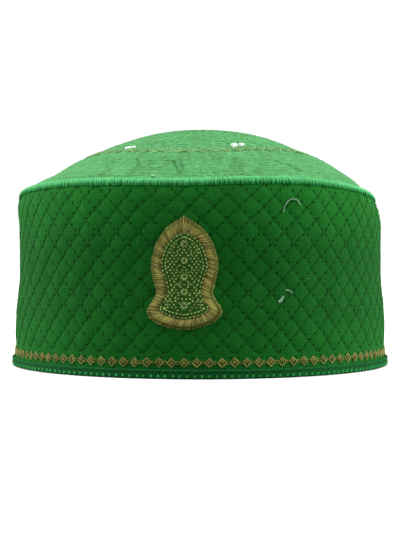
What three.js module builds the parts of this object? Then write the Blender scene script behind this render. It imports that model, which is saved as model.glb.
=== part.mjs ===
// A round cloth cap: a quilted side band, a domed crown, a stitched seam between them, a bound hem,
// two rings of gold embroidery and a gold motif on the front of the band.
// Millimetres, +Z up. The origin is the centre of the mouth, on the surface that the hem rests on.
// The front, with the motif, faces -Y. Angles run from the front towards +X, in degrees.
import * as THREE from "three";
import { mergeVertices } from "three/addons/utils/BufferGeometryUtils.js";

// Main sizes. The seam is narrower than the hem by SEAM_INSET.
const HEM_RADIUS = 95;
const BAND_HEIGHT = 84;
const SEAM_INSET = 6.7;
const CROWN_RISE = 33.9;

// Cloth
const BAND_WALL = 2;
const CROWN_WALL = 2;
const BINDING_WALL = 0.9;
const SEWN_GAP = 0.3;

// Binding of the hem and the ring of embroidery over it
const BINDING_HEIGHT = 4;
const BORDER_HEIGHT = 4.1;
const BORDER_MARGIN = 1.15;
const EMBROIDERY_RELIEF = 0.5;

// Quilting of the band: a lattice of diamonds
const QUILT_CELLS = 58;
const QUILT_CELL_HEIGHT = 10.7;
const QUILT_DEPTH = 0.55;
const QUILT_MARGIN = 1.15;
const QUILT_TURN = 1.03;

// Seam and crown embroidery
const SEAM_WIDTH = 3.9;
const SEAM_RELIEF = 1.2;
const CROWN_BORDER_WIDTH = 4.5;
const CROWN_BORDER_RADIUS = 56;

// Motif on the front of the band. MOTIF_LEVEL is the height of its centre above the hem.
const MOTIF_WIDTH = 32.6;
const MOTIF_HEIGHT = 49.2;
const MOTIF_LEVEL = 45.78;
const MOTIF_EDGE_RELIEF = 1.1;
const MOTIF_FIELD_RELIEF = 0.5;

// Facets
const COLUMNS = Math.round(QUILT_CELLS);
const CROWN_ROWS = 10;
const SEAM_STEPS = 5;
const STATION_STEPS = 3;

// What follows from the sizes above
const SEAM_RADIUS = HEM_RADIUS - SEAM_INSET;
const BAND_RADIUS = HEM_RADIUS - BINDING_WALL - SEWN_GAP;
const BAND_FOOT = BINDING_WALL + SEWN_GAP;
const BORDER_CENTRE = BINDING_HEIGHT + BORDER_MARGIN + BORDER_HEIGHT / 2;
const QUILT_LOWEST_ROW = BORDER_CENTRE + BORDER_HEIGHT / 2 + QUILT_MARGIN;
const MITRE = Math.SQRT1_2;

// Outside of the band: height is a share of BAND_HEIGHT. Flare says how far the radius
// still is from the seam's: 1 is BAND_RADIUS and 0 is SEAM_RADIUS.
const bandSections = [
  { height: 0.0, flare: 1.0 },
  { height: 0.05, flare: 0.96 },
  { height: 0.1, flare: 0.89 },
  { height: 0.18, flare: 0.95 },
  { height: 0.27, flare: 0.91 },
  { height: 0.36, flare: 0.83 },
  { height: 0.45, flare: 0.68 },
  { height: 0.55, flare: 0.61 },
  { height: 0.7, flare: 0.6 },
  { height: 0.85, flare: 0.6 },
  { height: 0.92, flare: 0.54 },
  { height: 0.96, flare: 0.4 },
  { height: 0.985, flare: 0.2 },
  { height: 1.0, flare: 0.0 },
];

// Outside of the crown: radius is a share of SEAM_RADIUS, and the rise on each side of the cap
// is a share of CROWN_RISE. The front and left sag a little and the right side stays full.
const crownSections = [
  { radius: 0.0, front: 1.0, right: 1.0, back: 1.0, left: 1.0 },
  { radius: 0.15, front: 0.975, right: 0.985, back: 0.98, left: 0.98 },
  { radius: 0.3, front: 0.888, right: 0.93, back: 0.915, left: 0.913 },
  { radius: 0.45, front: 0.744, right: 0.824, back: 0.8, left: 0.786 },
  { radius: 0.6, front: 0.57, right: 0.655, back: 0.64, left: 0.622 },
  { radius: 0.72, front: 0.41, right: 0.53, back: 0.49, left: 0.468 },
  { radius: 0.82, front: 0.262, right: 0.38, back: 0.33, left: 0.29 },
  { radius: 0.9, front: 0.152, right: 0.232, back: 0.192, left: 0.182 },
  { radius: 0.96, front: 0.073, right: 0.108, back: 0.082, left: 0.1 },
  { radius: 1.0, front: 0.0, right: 0.0, back: 0.0, left: 0.0 },
];

// How the soft rim strays from a flat round one. Lift is a share of BAND_HEIGHT. Tuck, at the
// rim's edge, and belly, halfway up the band, are shares of HEM_RADIUS, outwards.
const rimWaves = [
  { angle: 0, lift: 0.0195, tuck: 0.0, belly: 0.0 },
  { angle: 20, lift: 0.033, tuck: 0.0, belly: 0.001 },
  { angle: 40, lift: 0.034, tuck: 0.0, belly: 0.002 },
  { angle: 60, lift: 0.013, tuck: -0.004, belly: 0.002 },
  { angle: 90, lift: -0.022, tuck: -0.012, belly: 0.001 },
  { angle: 135, lift: 0.0, tuck: 0.002, belly: -0.004 },
  { angle: 180, lift: -0.006, tuck: 0.0, belly: 0.003 },
  { angle: 225, lift: 0.005, tuck: -0.004, belly: -0.003 },
  { angle: 270, lift: 0.0, tuck: 0.018, belly: -0.002 },
  { angle: 320, lift: 0.034, tuck: 0.0, belly: 0.001 },
];

// The right half of the motif, a sandal sole, from its tip to its heel. Each row is a station of
// the satin edge: its outer point and its inner point, as shares of MOTIF_WIDTH and MOTIF_HEIGHT.
const motifStations = [
  { outerAcross: 0.0, outerUp: 0.5, innerAcross: 0.0, innerUp: 0.365 },
  { outerAcross: 0.226, outerUp: 0.404, innerAcross: 0.132, innerUp: 0.329 },
  { outerAcross: 0.365, outerUp: 0.279, innerAcross: 0.248, innerUp: 0.242 },
  { outerAcross: 0.434, outerUp: 0.146, innerAcross: 0.308, innerUp: 0.138 },
  { outerAcross: 0.446, outerUp: 0.052, innerAcross: 0.321, innerUp: 0.046 },
  { outerAcross: 0.418, outerUp: -0.063, innerAcross: 0.28, innerUp: -0.038 },
  { outerAcross: 0.377, outerUp: -0.175, innerAcross: 0.23, innerUp: -0.154 },
  { outerAcross: 0.421, outerUp: -0.246, innerAcross: 0.258, innerUp: -0.238 },
  { outerAcross: 0.5, outerUp: -0.338, innerAcross: 0.336, innerUp: -0.31 },
  { outerAcross: 0.421, outerUp: -0.415, innerAcross: 0.28, innerUp: -0.363 },
  { outerAcross: 0.233, outerUp: -0.475, innerAcross: 0.145, innerUp: -0.398 },
  { outerAcross: 0.0, outerUp: -0.5, innerAcross: 0.0, innerUp: -0.415 },
];

const toDegrees = THREE.MathUtils.radToDeg;
const toRadians = THREE.MathUtils.degToRad;
const mix = THREE.MathUtils.lerp;
const clamp = THREE.MathUtils.clamp;
const smoothstep = THREE.MathUtils.smoothstep;

// A smooth curve through the two named columns of a table, read at one value of the first.
function readTable(rows, keyColumn, valueColumn, key) {
  const last = rows.length - 1;
  let row = 0;
  while (row < last - 1 && rows[row + 1][keyColumn] <= key) row += 1;
  const slopeAt = (i) => {
    const before = rows[Math.max(i - 1, 0)];
    const after = rows[Math.min(i + 1, last)];
    return (after[valueColumn] - before[valueColumn]) / (after[keyColumn] - before[keyColumn]);
  };
  const span = rows[row + 1][keyColumn] - rows[row][keyColumn];
  const t = clamp((key - rows[row][keyColumn]) / span, 0, 1);
  const fromStart = (1 + 2 * t) * (1 - t) ** 2 * rows[row][valueColumn];
  const fromEnd = t * t * (3 - 2 * t) * rows[row + 1][valueColumn];
  const fromSlopes = span * t * (1 - t) * ((1 - t) * slopeAt(row) - t * slopeAt(row + 1));
  return fromStart + fromEnd + fromSlopes;
}

// The rim's strays repeat after a full turn, so the table is read with its neighbours' rows.
const wavesAllRound = [
  ...rimWaves.slice(-2).map((row) => ({ ...row, angle: row.angle - 360 })),
  ...rimWaves,
  ...rimWaves.slice(0, 2).map((row) => ({ ...row, angle: row.angle + 360 })),
];

function wave(column, angle) {
  return readTable(wavesAllRound, "angle", column, ((angle % 360) + 360) % 360);
}

// Outer radius of the band at a height, before the rim strays.
function bandRadius(height) {
  const share = clamp(height / BAND_HEIGHT, 0, 1);
  return mix(SEAM_RADIUS, BAND_RADIUS, readTable(bandSections, "height", "flare", share));
}

// Height of the crown's outside at a radius and an angle, before the rim strays.
function crownHeight(radius, angle) {
  const share = clamp(radius / SEAM_RADIUS, 0, 1);
  const ahead = Math.cos(toRadians(angle));
  const aside = Math.sin(toRadians(angle));
  const lengthwise = readTable(crownSections, "radius", ahead > 0 ? "front" : "back", share);
  const sideways = readTable(crownSections, "radius", aside > 0 ? "right" : "left", share);
  return BAND_HEIGHT + CROWN_RISE * (lengthwise * ahead ** 2 + sideways * aside ** 2);
}

const angleOf = (x, y) => toDegrees(Math.atan2(x, -y));

// Moves a point of the flat-rimmed cap to where the soft one has it. Every piece goes through
// here, so that they keep their places on each other.
function settle(point) {
  const radius = Math.hypot(point.x, point.y);
  if (radius === 0) return point;
  const angle = angleOf(point.x, point.y);
  const up = clamp(point.z / BAND_HEIGHT, 0, 1);
  const outward = clamp(radius / SEAM_RADIUS, 0, 1) ** 2;
  const nearRim = smoothstep(up, 0.8, 1) * outward;
  const bellied = Math.sin(Math.PI * up);
  const out = HEM_RADIUS * (wave("tuck", angle) * nearRim + wave("belly", angle) * bellied);
  const scale = (radius + out) / radius;
  return point.set(
    point.x * scale,
    point.y * scale,
    point.z + BAND_HEIGHT * wave("lift", angle) * nearRim,
  );
}

// Gives every corner of a geometry its settled place and closes it.
function settled(geometry) {
  const position = geometry.getAttribute("position");
  const point = new THREE.Vector3();
  for (let i = 0; i < position.count; i += 1) {
    settle(point.fromBufferAttribute(position, i));
    position.setXYZ(i, point.x, point.y, point.z);
  }
  geometry.deleteAttribute("normal");
  geometry.deleteAttribute("uv");
  return mergeVertices(geometry, 1e-4);
}

// A section of [radius, height] points turned about +Z, its first column at the front.
// It runs up the outside and down the inside.
function turned(section, columns) {
  const points = section.map(([radius, height]) => new THREE.Vector2(radius, height));
  return new THREE.LatheGeometry(points, columns).rotateX(Math.PI / 2);
}

const closed = (section) => [...section, section[0]];

function piece(name, geometry, colour, roughness) {
  const material = new THREE.MeshStandardMaterial({ color: colour, roughness, metalness: 0 });
  const mesh = new THREE.Mesh(geometry, material);
  mesh.name = name;
  return mesh;
}

// The point at a depth under the outside of the band, square to it.
function underBand(height, depth) {
  const step = 0.5;
  const slope = (bandRadius(height + step) - bandRadius(height - step)) / (2 * step);
  const length = Math.hypot(1, slope);
  return [bandRadius(height) - depth / length, height + (depth * slope) / length];
}

// The band's rows on the outside, bottom to top. Those of the lattice are half a diamond apart.
function bandRows() {
  const lattice = [];
  const rolledEdge = [0.965, 0.987, 1].map((share) => share * BAND_HEIGHT);
  const highest = rolledEdge[0] - QUILT_CELL_HEIGHT / 6;
  for (let z = QUILT_LOWEST_ROW; z < highest; z += QUILT_CELL_HEIGHT / 2) lattice.push(z);
  return { plain: [BAND_FOOT, BORDER_CENTRE], lattice, rolledEdge };
}

function sideBand() {
  const columns = 2 * COLUMNS;
  const { plain, lattice, rolledEdge } = bandRows();
  const outside = [...plain, ...lattice, ...rolledEdge];
  const inside = [0.93, 0.6, 0.25].map((share) => underBand(share * BAND_HEIGHT, BAND_WALL));
  const section = closed([
    ...outside.map((height) => [bandRadius(height), height]),
    [SEAM_RADIUS - BAND_WALL * MITRE, BAND_HEIGHT - BAND_WALL * MITRE],
    ...inside,
    [bandRadius(BAND_FOOT) - BAND_WALL, BAND_FOOT],
  ]);
  const geometry = turned(section, columns);

  // Crossings of the quilting are drawn in, at every second column of each lattice row.
  const position = geometry.getAttribute("position");
  const isCrossing = (column, row) => (column + row) % 2 === 0;
  for (let column = 0; column <= columns; column += 1) {
    for (let row = plain.length; row < plain.length + lattice.length; row += 1) {
      if (!isCrossing(column, row)) continue;
      const i = column * section.length + row;
      const share = 1 - QUILT_DEPTH / Math.hypot(position.getX(i), position.getY(i));
      position.setX(i, position.getX(i) * share);
      position.setY(i, position.getY(i) * share);
    }
  }

  // Each square of the lattice is split from crossing to crossing, along the line of stitches.
  const index = geometry.getIndex();
  const rows = section.length - 1;
  for (let column = 0; column < columns; column += 1) {
    for (let row = 0; row < rows; row += 1) {
      if (!isCrossing(column, row)) continue;
      const a = column * section.length + row;
      const b = a + section.length;
      const corner = (column * rows + row) * 6;
      [a, b, b + 1, a, b + 1, a + 1].forEach((vertex, k) => index.setX(corner + k, vertex));
    }
  }
  geometry.rotateZ(toRadians(QUILT_TURN));
  return settled(geometry);
}

// The crown's height depends on the angle, so its section is turned flat and then raised.
function crown() {
  const edge = SEAM_RADIUS - SEWN_GAP * MITRE;
  const insideEdge = edge - CROWN_WALL * MITRE;
  const outside = [];
  const inside = [];
  for (let row = 0; row <= CROWN_ROWS; row += 1) {
    const share = 1 - row / CROWN_ROWS;
    outside.push([edge * share, 0]);
    if (row % 2 === 0) inside.unshift([insideEdge * share, -CROWN_WALL]);
  }
  const geometry = turned([...inside, ...outside], COLUMNS);
  const position = geometry.getAttribute("position");
  for (let i = 0; i < position.count; i += 1) {
    const radius = Math.hypot(position.getX(i), position.getY(i));
    const under = position.getZ(i) < -CROWN_WALL / 2;
    const outer = under ? (radius * edge) / insideEdge : radius;
    const nearEdge = smoothstep(radius / insideEdge, 0.8, 1);
    const drop = under ? mix(CROWN_WALL, CROWN_WALL * MITRE, nearEdge) : 0;
    const angle = angleOf(position.getX(i), position.getY(i));
    const clearOfBand = SEWN_GAP * MITRE * nearEdge;
    position.setZ(i, crownHeight(outer, angle) + clearOfBand - drop);
  }
  return settled(geometry);
}

// A crescent of satin stitches over the joint of band and crown. It laps a little further down
// the band than in over the crown.
function crownSeam() {
  const down = SEAM_WIDTH * 0.45;
  const inward = SEAM_WIDTH * 0.375;
  const bandSide = underBand(BAND_HEIGHT - down, -SEWN_GAP);
  const crownSide = [SEAM_RADIUS - inward, crownHeight(SEAM_RADIUS - inward, 0) + SEWN_GAP * 2];
  const corner = [SEAM_RADIUS + SEWN_GAP * 1.2, BAND_HEIGHT + SEWN_GAP * 1.2];
  const middle = [(bandSide[0] + crownSide[0]) / 2, (bandSide[1] + crownSide[1]) / 2];
  const rise = SEAM_RELIEF + Math.hypot(corner[0] - middle[0], corner[1] - middle[1]);
  const arc = [];
  for (let step = 1; step < SEAM_STEPS; step += 1) {
    const t = step / SEAM_STEPS;
    const bulge = rise * Math.sin(Math.PI * t) * MITRE;
    arc.push([mix(bandSide[0], crownSide[0], t) + bulge, mix(bandSide[1], crownSide[1], t) + bulge]);
  }
  return settled(turned(closed([bandSide, ...arc, crownSide, corner]), COLUMNS));
}

// A folded strip round the band's lower edge, with the edge between its two legs.
function hemBinding() {
  const round = BINDING_WALL * 0.45;
  const outside = HEM_RADIUS;
  const slotOutside = bandRadius(BAND_FOOT) + SEWN_GAP;
  const slotInside = bandRadius(BAND_FOOT) - BAND_WALL - SEWN_GAP;
  const inside = slotInside - BINDING_WALL;
  const section = [
    [inside + round, 0],
    [outside - round, 0],
    [outside, round],
    [outside, BINDING_HEIGHT - round],
    [outside - round, BINDING_HEIGHT],
    [slotOutside, BINDING_HEIGHT],
    [slotOutside, BINDING_WALL],
    [slotInside, BINDING_WALL],
    [slotInside, BINDING_HEIGHT],
    [inside + round, BINDING_HEIGHT],
    [inside, BINDING_HEIGHT - round],
    [inside, round],
  ];
  return settled(turned(closed(section), COLUMNS));
}

function hemBorder() {
  const low = BORDER_CENTRE - BORDER_HEIGHT / 2;
  const high = BORDER_CENTRE + BORDER_HEIGHT / 2;
  const lowRadius = Math.max(bandRadius(low), bandRadius(BORDER_CENTRE)) + SEWN_GAP;
  const highRadius = Math.max(bandRadius(high), bandRadius(BORDER_CENTRE)) + SEWN_GAP;
  const section = [
    [lowRadius + EMBROIDERY_RELIEF, low],
    [highRadius + EMBROIDERY_RELIEF, high],
    [highRadius, high],
    [lowRadius, low],
  ];
  return settled(turned(closed(section), COLUMNS));
}

// The same embroidery round the crown: a flat ring that is raised onto the dome.
function crownBorder() {
  const wide = CROWN_BORDER_RADIUS + CROWN_BORDER_WIDTH / 2;
  const narrow = CROWN_BORDER_RADIUS - CROWN_BORDER_WIDTH / 2;
  const section = [
    [wide, EMBROIDERY_RELIEF],
    [narrow, EMBROIDERY_RELIEF],
    [narrow, 0],
    [wide, 0],
  ];
  const geometry = turned(closed(section), COLUMNS);
  const position = geometry.getAttribute("position");
  for (let i = 0; i < position.count; i += 1) {
    const radius = Math.hypot(position.getX(i), position.getY(i));
    const angle = angleOf(position.getX(i), position.getY(i));
    position.setZ(i, crownHeight(radius, angle) + SEWN_GAP * 1.2 + position.getZ(i));
  }
  return settled(geometry);
}

// The closed outline of the motif through its outer or inner points, as [across, up] in mm.
function motifOutline(side) {
  const points = motifStations.map(
    (row) => new THREE.Vector2(row[`${side}Across`] * MOTIF_WIDTH, row[`${side}Up`] * MOTIF_HEIGHT),
  );
  const steps = (points.length - 1) * STATION_STEPS;
  const half = [];
  const curve = new THREE.SplineCurve(points);
  for (let step = 0; step <= steps; step += 1) half.push(curve.getPoint(step / steps));
  const back = half.slice(1, -1).reverse();
  return [...half.map((p) => [-p.x, p.y]), ...back.map((p) => [p.x, p.y])];
}

// A point of the motif, across and up from its centre, laid on the band at a height above it.
function onBand([across, up], above) {
  const height = MOTIF_LEVEL + up;
  const radius = bandRadius(height) + SEWN_GAP + above;
  const turn = across / bandRadius(MOTIF_LEVEL);
  return [radius * Math.sin(turn), -radius * Math.cos(turn), height];
}

// A closed skin from loops of equal length: each joins the next, and the ends are closed to a
// point, or to each other when the loops form a ring.
function skin(loops, ends) {
  const count = loops[0].length;
  const corners = loops.flat();
  const index = [];
  const strips = ends ? loops.length - 1 : loops.length;
  for (let loop = 0; loop < strips; loop += 1) {
    const nextLoop = (loop + 1) % loops.length;
    for (let i = 0; i < count; i += 1) {
      const next = (i + 1) % count;
      const a = loop * count + i;
      const b = loop * count + next;
      const c = nextLoop * count + next;
      const d = nextLoop * count + i;
      index.push(a, b, c, a, c, d);
    }
  }
  if (ends) {
    const first = corners.length;
    const lastLoop = (loops.length - 1) * count;
    corners.push(...ends);
    for (let i = 0; i < count; i += 1) {
      const next = (i + 1) % count;
      index.push(first, next, i);
      index.push(first + 1, lastLoop + i, lastLoop + next);
    }
  }
  const geometry = new THREE.BufferGeometry();
  geometry.setAttribute("position", new THREE.Float32BufferAttribute(corners.flat(), 3));
  geometry.setIndex(index);
  return settled(geometry);
}

// A padded ring of satin stitches between the two outlines, highest along its middle.
function motifEdge() {
  const outer = motifOutline("outer");
  const inner = motifOutline("inner");
  const lay = (t, above) =>
    outer.map(([x, y], i) => onBand([mix(x, inner[i][0], t), mix(y, inner[i][1], t)], above));
  const shoulder = MOTIF_EDGE_RELIEF * 0.55;
  return skin([lay(0, 0), lay(0.06, shoulder), lay(0.5, MOTIF_EDGE_RELIEF), lay(0.94, shoulder), lay(1, 0)]);
}

// The embroidered ground inside the edge, closed to its middle on both faces.
function motifField() {
  const rim = motifOutline("inner").map(([x, y]) => {
    const share = 1 - SEWN_GAP / Math.hypot(x, y);
    return [x * share, y * share];
  });
  const lay = (t, above) => rim.map(([x, y]) => onBand([x * t, y * t], above));
  const rings = [0.4, 0.75, 1];
  const underside = rings.map((t) => lay(t, 0));
  const face = rings.map((t) => lay(t, MOTIF_FIELD_RELIEF)).reverse();
  const middle = [0, 0];
  return skin([...underside, ...face], [onBand(middle, 0), onBand(middle, MOTIF_FIELD_RELIEF)]);
}

const GREEN_CLOTH = 0x1c6a2c;
const GREEN_CROWN = 0x3f9a52;
const GREEN_THREAD = 0x2fa052;
const GREEN_BINDING = 0x1a7338;
const GOLD_THREAD = 0x9a8445;

const kufi = new THREE.Group();
kufi.add(
  piece("side_band", sideBand(), GREEN_CLOTH, 0.85),
  piece("crown", crown(), GREEN_CROWN, 0.75),
  piece("crown_seam", crownSeam(), GREEN_THREAD, 0.5),
  piece("hem_binding", hemBinding(), GREEN_BINDING, 0.6),
  piece("hem_border", hemBorder(), GOLD_THREAD, 0.5),
  piece("crown_border", crownBorder(), GOLD_THREAD, 0.5),
  piece("motif_edge", motifEdge(), GOLD_THREAD, 0.5),
  piece("motif_field", motifField(), GOLD_THREAD, 0.6),
);

export default kufi;
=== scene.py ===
import functools
import math

import bmesh
import bpy
import numpy as np
from bpy.props import FloatProperty, FloatVectorProperty, PointerProperty
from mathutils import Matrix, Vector


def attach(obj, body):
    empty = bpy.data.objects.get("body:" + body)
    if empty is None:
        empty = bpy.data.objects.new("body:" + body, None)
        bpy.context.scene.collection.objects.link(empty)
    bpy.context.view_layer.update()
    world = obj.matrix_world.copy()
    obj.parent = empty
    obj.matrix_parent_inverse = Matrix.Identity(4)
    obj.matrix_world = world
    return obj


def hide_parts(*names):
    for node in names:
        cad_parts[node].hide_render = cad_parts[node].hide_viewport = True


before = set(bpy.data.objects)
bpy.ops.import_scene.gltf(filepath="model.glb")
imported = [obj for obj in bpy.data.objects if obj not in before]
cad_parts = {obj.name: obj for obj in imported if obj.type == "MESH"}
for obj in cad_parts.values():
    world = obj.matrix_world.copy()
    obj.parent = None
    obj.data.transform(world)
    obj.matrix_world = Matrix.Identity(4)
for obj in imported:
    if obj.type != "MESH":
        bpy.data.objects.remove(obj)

bl_info = {
    "name": "Kufi",
    "version": (1, 0, 0),
    "blender": (4, 5, 0),
    "location": "3D View > Sidebar > Kufi",
    "description": "Makes a quilted kufi with gold embroidery, and its floor, lights and camera",
    "category": "Object",
}

# Metres, +Z up. The front, with the motif, faces -Y. Angles run from the front towards +X, in
# degrees. These are the solids' own sizes and tables, with a few for what is only modelled here.
MM = 0.001
HEM_RADIUS = 95 * MM
BAND_HEIGHT = 84 * MM
SEAM_RADIUS = 88.3 * MM
CROWN_RISE = 33.9 * MM
BAND_WALL = 2 * MM
CROWN_WALL = 2 * MM
BINDING_WALL = 0.9 * MM
SEWN_GAP = 0.3 * MM
BINDING_HEIGHT = 4 * MM
BORDER_CENTRE = 7.2 * MM
QUILT_CELLS = 58
QUILT_CELL_HEIGHT = 10.7 * MM
QUILT_LOWEST_ROW = 10.4 * MM
QUILT_TURN = 1.03
STITCH_RISE = 2.45 * MM
FIRST_HOLE = 11.1 * MM
LAST_STITCH = 82 * MM
QUILT_FADES_IN = (8.6 * MM, 11.5 * MM)
QUILT_FADES_OUT = (80 * MM, 83.4 * MM)
SEAM_WIDTH = 3.9 * MM
SEAM_RELIEF = 1.2 * MM
SEAM_ON_BAND = 0.45
SEAM_ON_CROWN = 0.375
HEM_GROOVE = 0.2 * MM
CROWN_INNERMOST_ROW = 5 * MM
CROWN_STITCH_PITCH = 3.9 * MM
CROWN_BORDER_RADIUS = 56 * MM
CROWN_BORDER_HALF = 1.6 * MM
MOTIF_WIDTH = 32.6 * MM
MOTIF_HEIGHT = 49.2 * MM
MOTIF_LEVEL = 45.78 * MM
MOTIF_EDGE_RELIEF = 1.1 * MM
MOTIF_FIELD_RELIEF = 0.5 * MM
OUTLINE_STEPS = 6
BAND_RADIUS = HEM_RADIUS - BINDING_WALL - SEWN_GAP
BAND_FOOT = BINDING_WALL + SEWN_GAP
MITRE = math.sqrt(0.5)

# Outside of the band: share of its height, and flare from the seam's radius to the band's.
BAND_SECTIONS = (
    (0.0, 1.0), (0.05, 0.96), (0.1, 0.89), (0.18, 0.95), (0.27, 0.91), (0.36, 0.83), (0.45, 0.68),
    (0.55, 0.61), (0.7, 0.6), (0.85, 0.6), (0.92, 0.54), (0.96, 0.4), (0.985, 0.2), (1.0, 0.0),
)

# Outside of the crown: share of the seam's radius, and rise at the front, right, back and left.
CROWN_SECTIONS = (
    (0.0, 1.0, 1.0, 1.0, 1.0),
    (0.15, 0.975, 0.985, 0.98, 0.98),
    (0.3, 0.888, 0.93, 0.915, 0.913),
    (0.45, 0.744, 0.824, 0.8, 0.786),
    (0.6, 0.57, 0.655, 0.64, 0.622),
    (0.72, 0.41, 0.53, 0.49, 0.468),
    (0.82, 0.262, 0.38, 0.33, 0.29),
    (0.9, 0.152, 0.232, 0.192, 0.182),
    (0.96, 0.073, 0.108, 0.082, 0.1),
    (1.0, 0.0, 0.0, 0.0, 0.0),
)
FRONT, RIGHT, BACK, LEFT = 1, 2, 3, 4

# How the soft rim strays: angle, lift, tuck and belly.
RIM_WAVES = (
    (0, 0.0195, 0.0, 0.0), (20, 0.033, 0.0, 0.001), (40, 0.034, 0.0, 0.002),
    (60, 0.013, -0.004, 0.002), (90, -0.022, -0.012, 0.001), (135, 0.0, 0.002, -0.004),
    (180, -0.006, 0.0, 0.003), (225, 0.005, -0.004, -0.003), (270, 0.0, 0.018, -0.002),
    (320, 0.034, 0.0, 0.001),
)
LIFT, TUCK, BELLY = 1, 2, 3

# Right half of the motif, tip to heel: outer across and up, inner across and up.
MOTIF_STATIONS = (
    (0.0, 0.5, 0.0, 0.365), (0.226, 0.404, 0.132, 0.329), (0.365, 0.279, 0.248, 0.242),
    (0.434, 0.146, 0.308, 0.138), (0.446, 0.052, 0.321, 0.046), (0.418, -0.063, 0.28, -0.038),
    (0.377, -0.175, 0.23, -0.154), (0.421, -0.246, 0.258, -0.238), (0.5, -0.338, 0.336, -0.31),
    (0.421, -0.415, 0.28, -0.363), (0.233, -0.475, 0.145, -0.398), (0.0, -0.5, 0.0, -0.415),
)

# Soft creases in the crown: radius and angle at each end, depth and half width, in mm and degrees.
CROWN_CREASES = (
    (68.2, -5.8, 81.2, -1.8, 1.3, 0.65),
    (66.4, -4.2, 79.2, -0.6, 0.9, 0.6),
    (65.8, -22.0, 74.4, -17.3, 0.9, 0.9),
    (64.0, -39.8, 77.2, -28.0, 0.5, 2.2),
    (69.6, -14.5, 69.4, -9.5, 0.8, 3.0),
    (68.4, 17.3, 82.8, 15.8, 0.5, 2.4),
    (74.0, -31.0, 77.0, -28.6, 0.5, 1.0),
    (84.9, -36.5, 84.6, -24.5, 0.55, 0.7),
    (70.0, 34.0, 80.0, 38.0, 0.45, 1.5),
    (64.0, 150.0, 80.0, 156.0, 0.6, 1.6),
    (60.0, -120.0, 76.0, -112.0, 0.5, 1.5),
    (68.0, 88.0, 82.0, 92.0, 0.5, 1.6),
)


def colour_setting(name, description, default):
    return FloatVectorProperty(name=name, description=description, subtype="COLOR", size=3,
                               min=0, max=1, default=default)


def length_setting(name, description, low, high, default):
    """A length whose limits and default are given in millimetres."""
    return FloatProperty(name=name, description=description, subtype="DISTANCE", unit="LENGTH",
                         min=low * MM, max=high * MM, default=default * MM)


class KufiCloth(bpy.types.PropertyGroup):
    band_green: colour_setting(
        "Band green", "Colour of the quilted band's cloth", (0.0081, 0.11, 0.012))
    # The crown's green is partly its cloth's own colour and partly painted light: painted lighter
    # and paler than the band's where the top light and the sheen fall.
    crown_green_and_painted_light: colour_setting("Crown green", "Colour of the crown's cloth", (0.072, 0.27, 0.09))
    quilt_depth: length_setting(
        "Quilting depth", "How deep the stitching draws the band in", 0, 1.5, 0.42)
    row_pitch: length_setting(
        "Crown row pitch", "Distance from one ring of crown stitches to the next", 1.5, 6, 2.7)
    unevenness: length_setting(
        "Unevenness", "How far the soft cloth strays from its even shape", 0, 1, 0.25)


class KufiThread(bpy.types.PropertyGroup):
    gold: colour_setting("Gold thread", "Colour of the embroidery", (0.385, 0.345, 0.078))
    # The crown's gold ring is painted pale like the crown's cloth: partly its own colour, partly
    # painted light from above.
    crown_gold_and_painted_light: colour_setting(
        "Crown gold thread", "Colour of the paler gold ring round the crown", (0.2, 0.42, 0.14))
    motif_thread: colour_setting(
        "Motif thread", "Colour of the small stitches on the motif's ground", (0.35, 0.48, 0.125))
    quilting_green: colour_setting(
        "Quilting thread", "Colour of the thread that quilts the band", (0.0085, 0.112, 0.0125))
    # The crown thread's green is partly its own colour and partly painted light from above, like
    # the crown's cloth.
    crown_green_and_painted_light: colour_setting(
        "Crown thread", "Colour of the rings of stitches on the crown", (0.1, 0.33, 0.125))
    # The seam thread's green is painted lighter than its dye: a painted highlight where light from
    # above falls on the top of the roll.
    seam_green_painted_highlight: colour_setting(
        "Seam thread", "Colour of the satin stitches over the crown's seam", (0.115, 0.52, 0.19))
    # The seam thread's lower end is painted darker: painted shade where the roll turns down towards
    # the band.
    seam_painted_shade: colour_setting(
        "Seam thread below", "Colour of the seam's stitches where they meet the band",
        (0.018, 0.28, 0.05))
    binding_green: colour_setting(
        "Hem thread", "Colour of the hem's binding and its stitches", (0.0075, 0.1, 0.0205))
    # Colour of the painted glints, made as pale fibres on the cloth.
    painted_glints: colour_setting("Painted glints", "Colour of the bits of lint on the cloth", (0.85, 0.95, 0.87))
    satin_pitch: length_setting(
        "Satin pitch", "Distance from one satin stitch of the motif to the next", 0.3, 2, 0.84)
    seam_pitch: length_setting(
        "Seam pitch", "Distance from one seam stitch to the next", 0.5, 3, 0.66)


class KufiStage(bpy.types.PropertyGroup):
    floor_grey: FloatProperty(
        name="Floor", description="How pale the floor is",
        subtype="FACTOR", min=0, max=1, default=0.92,
    )
    bounce_grey: FloatProperty(
        name="Floor bounce", description="How much light the floor throws back onto the cap",
        subtype="FACTOR", min=0, max=1, default=0.3,
    )
    sky: FloatProperty(
        name="Surrounding light", description="Strength of the even light from all round",
        min=0, max=3, default=0.2,
    )
    top_light: FloatProperty(
        name="Top light", description="Strength of the soft light from above",
        min=0, max=20, default=2.5,
    )
    side_light: FloatProperty(
        name="Side lights", description="Strength of the soft lights from the left and right",
        min=0, max=20, default=4.1,
    )
    lens: FloatProperty(
        name="Lens", description="Focal length of the camera in millimetres",
        min=20, max=200, default=78.5,
    )


# Shapes

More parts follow.
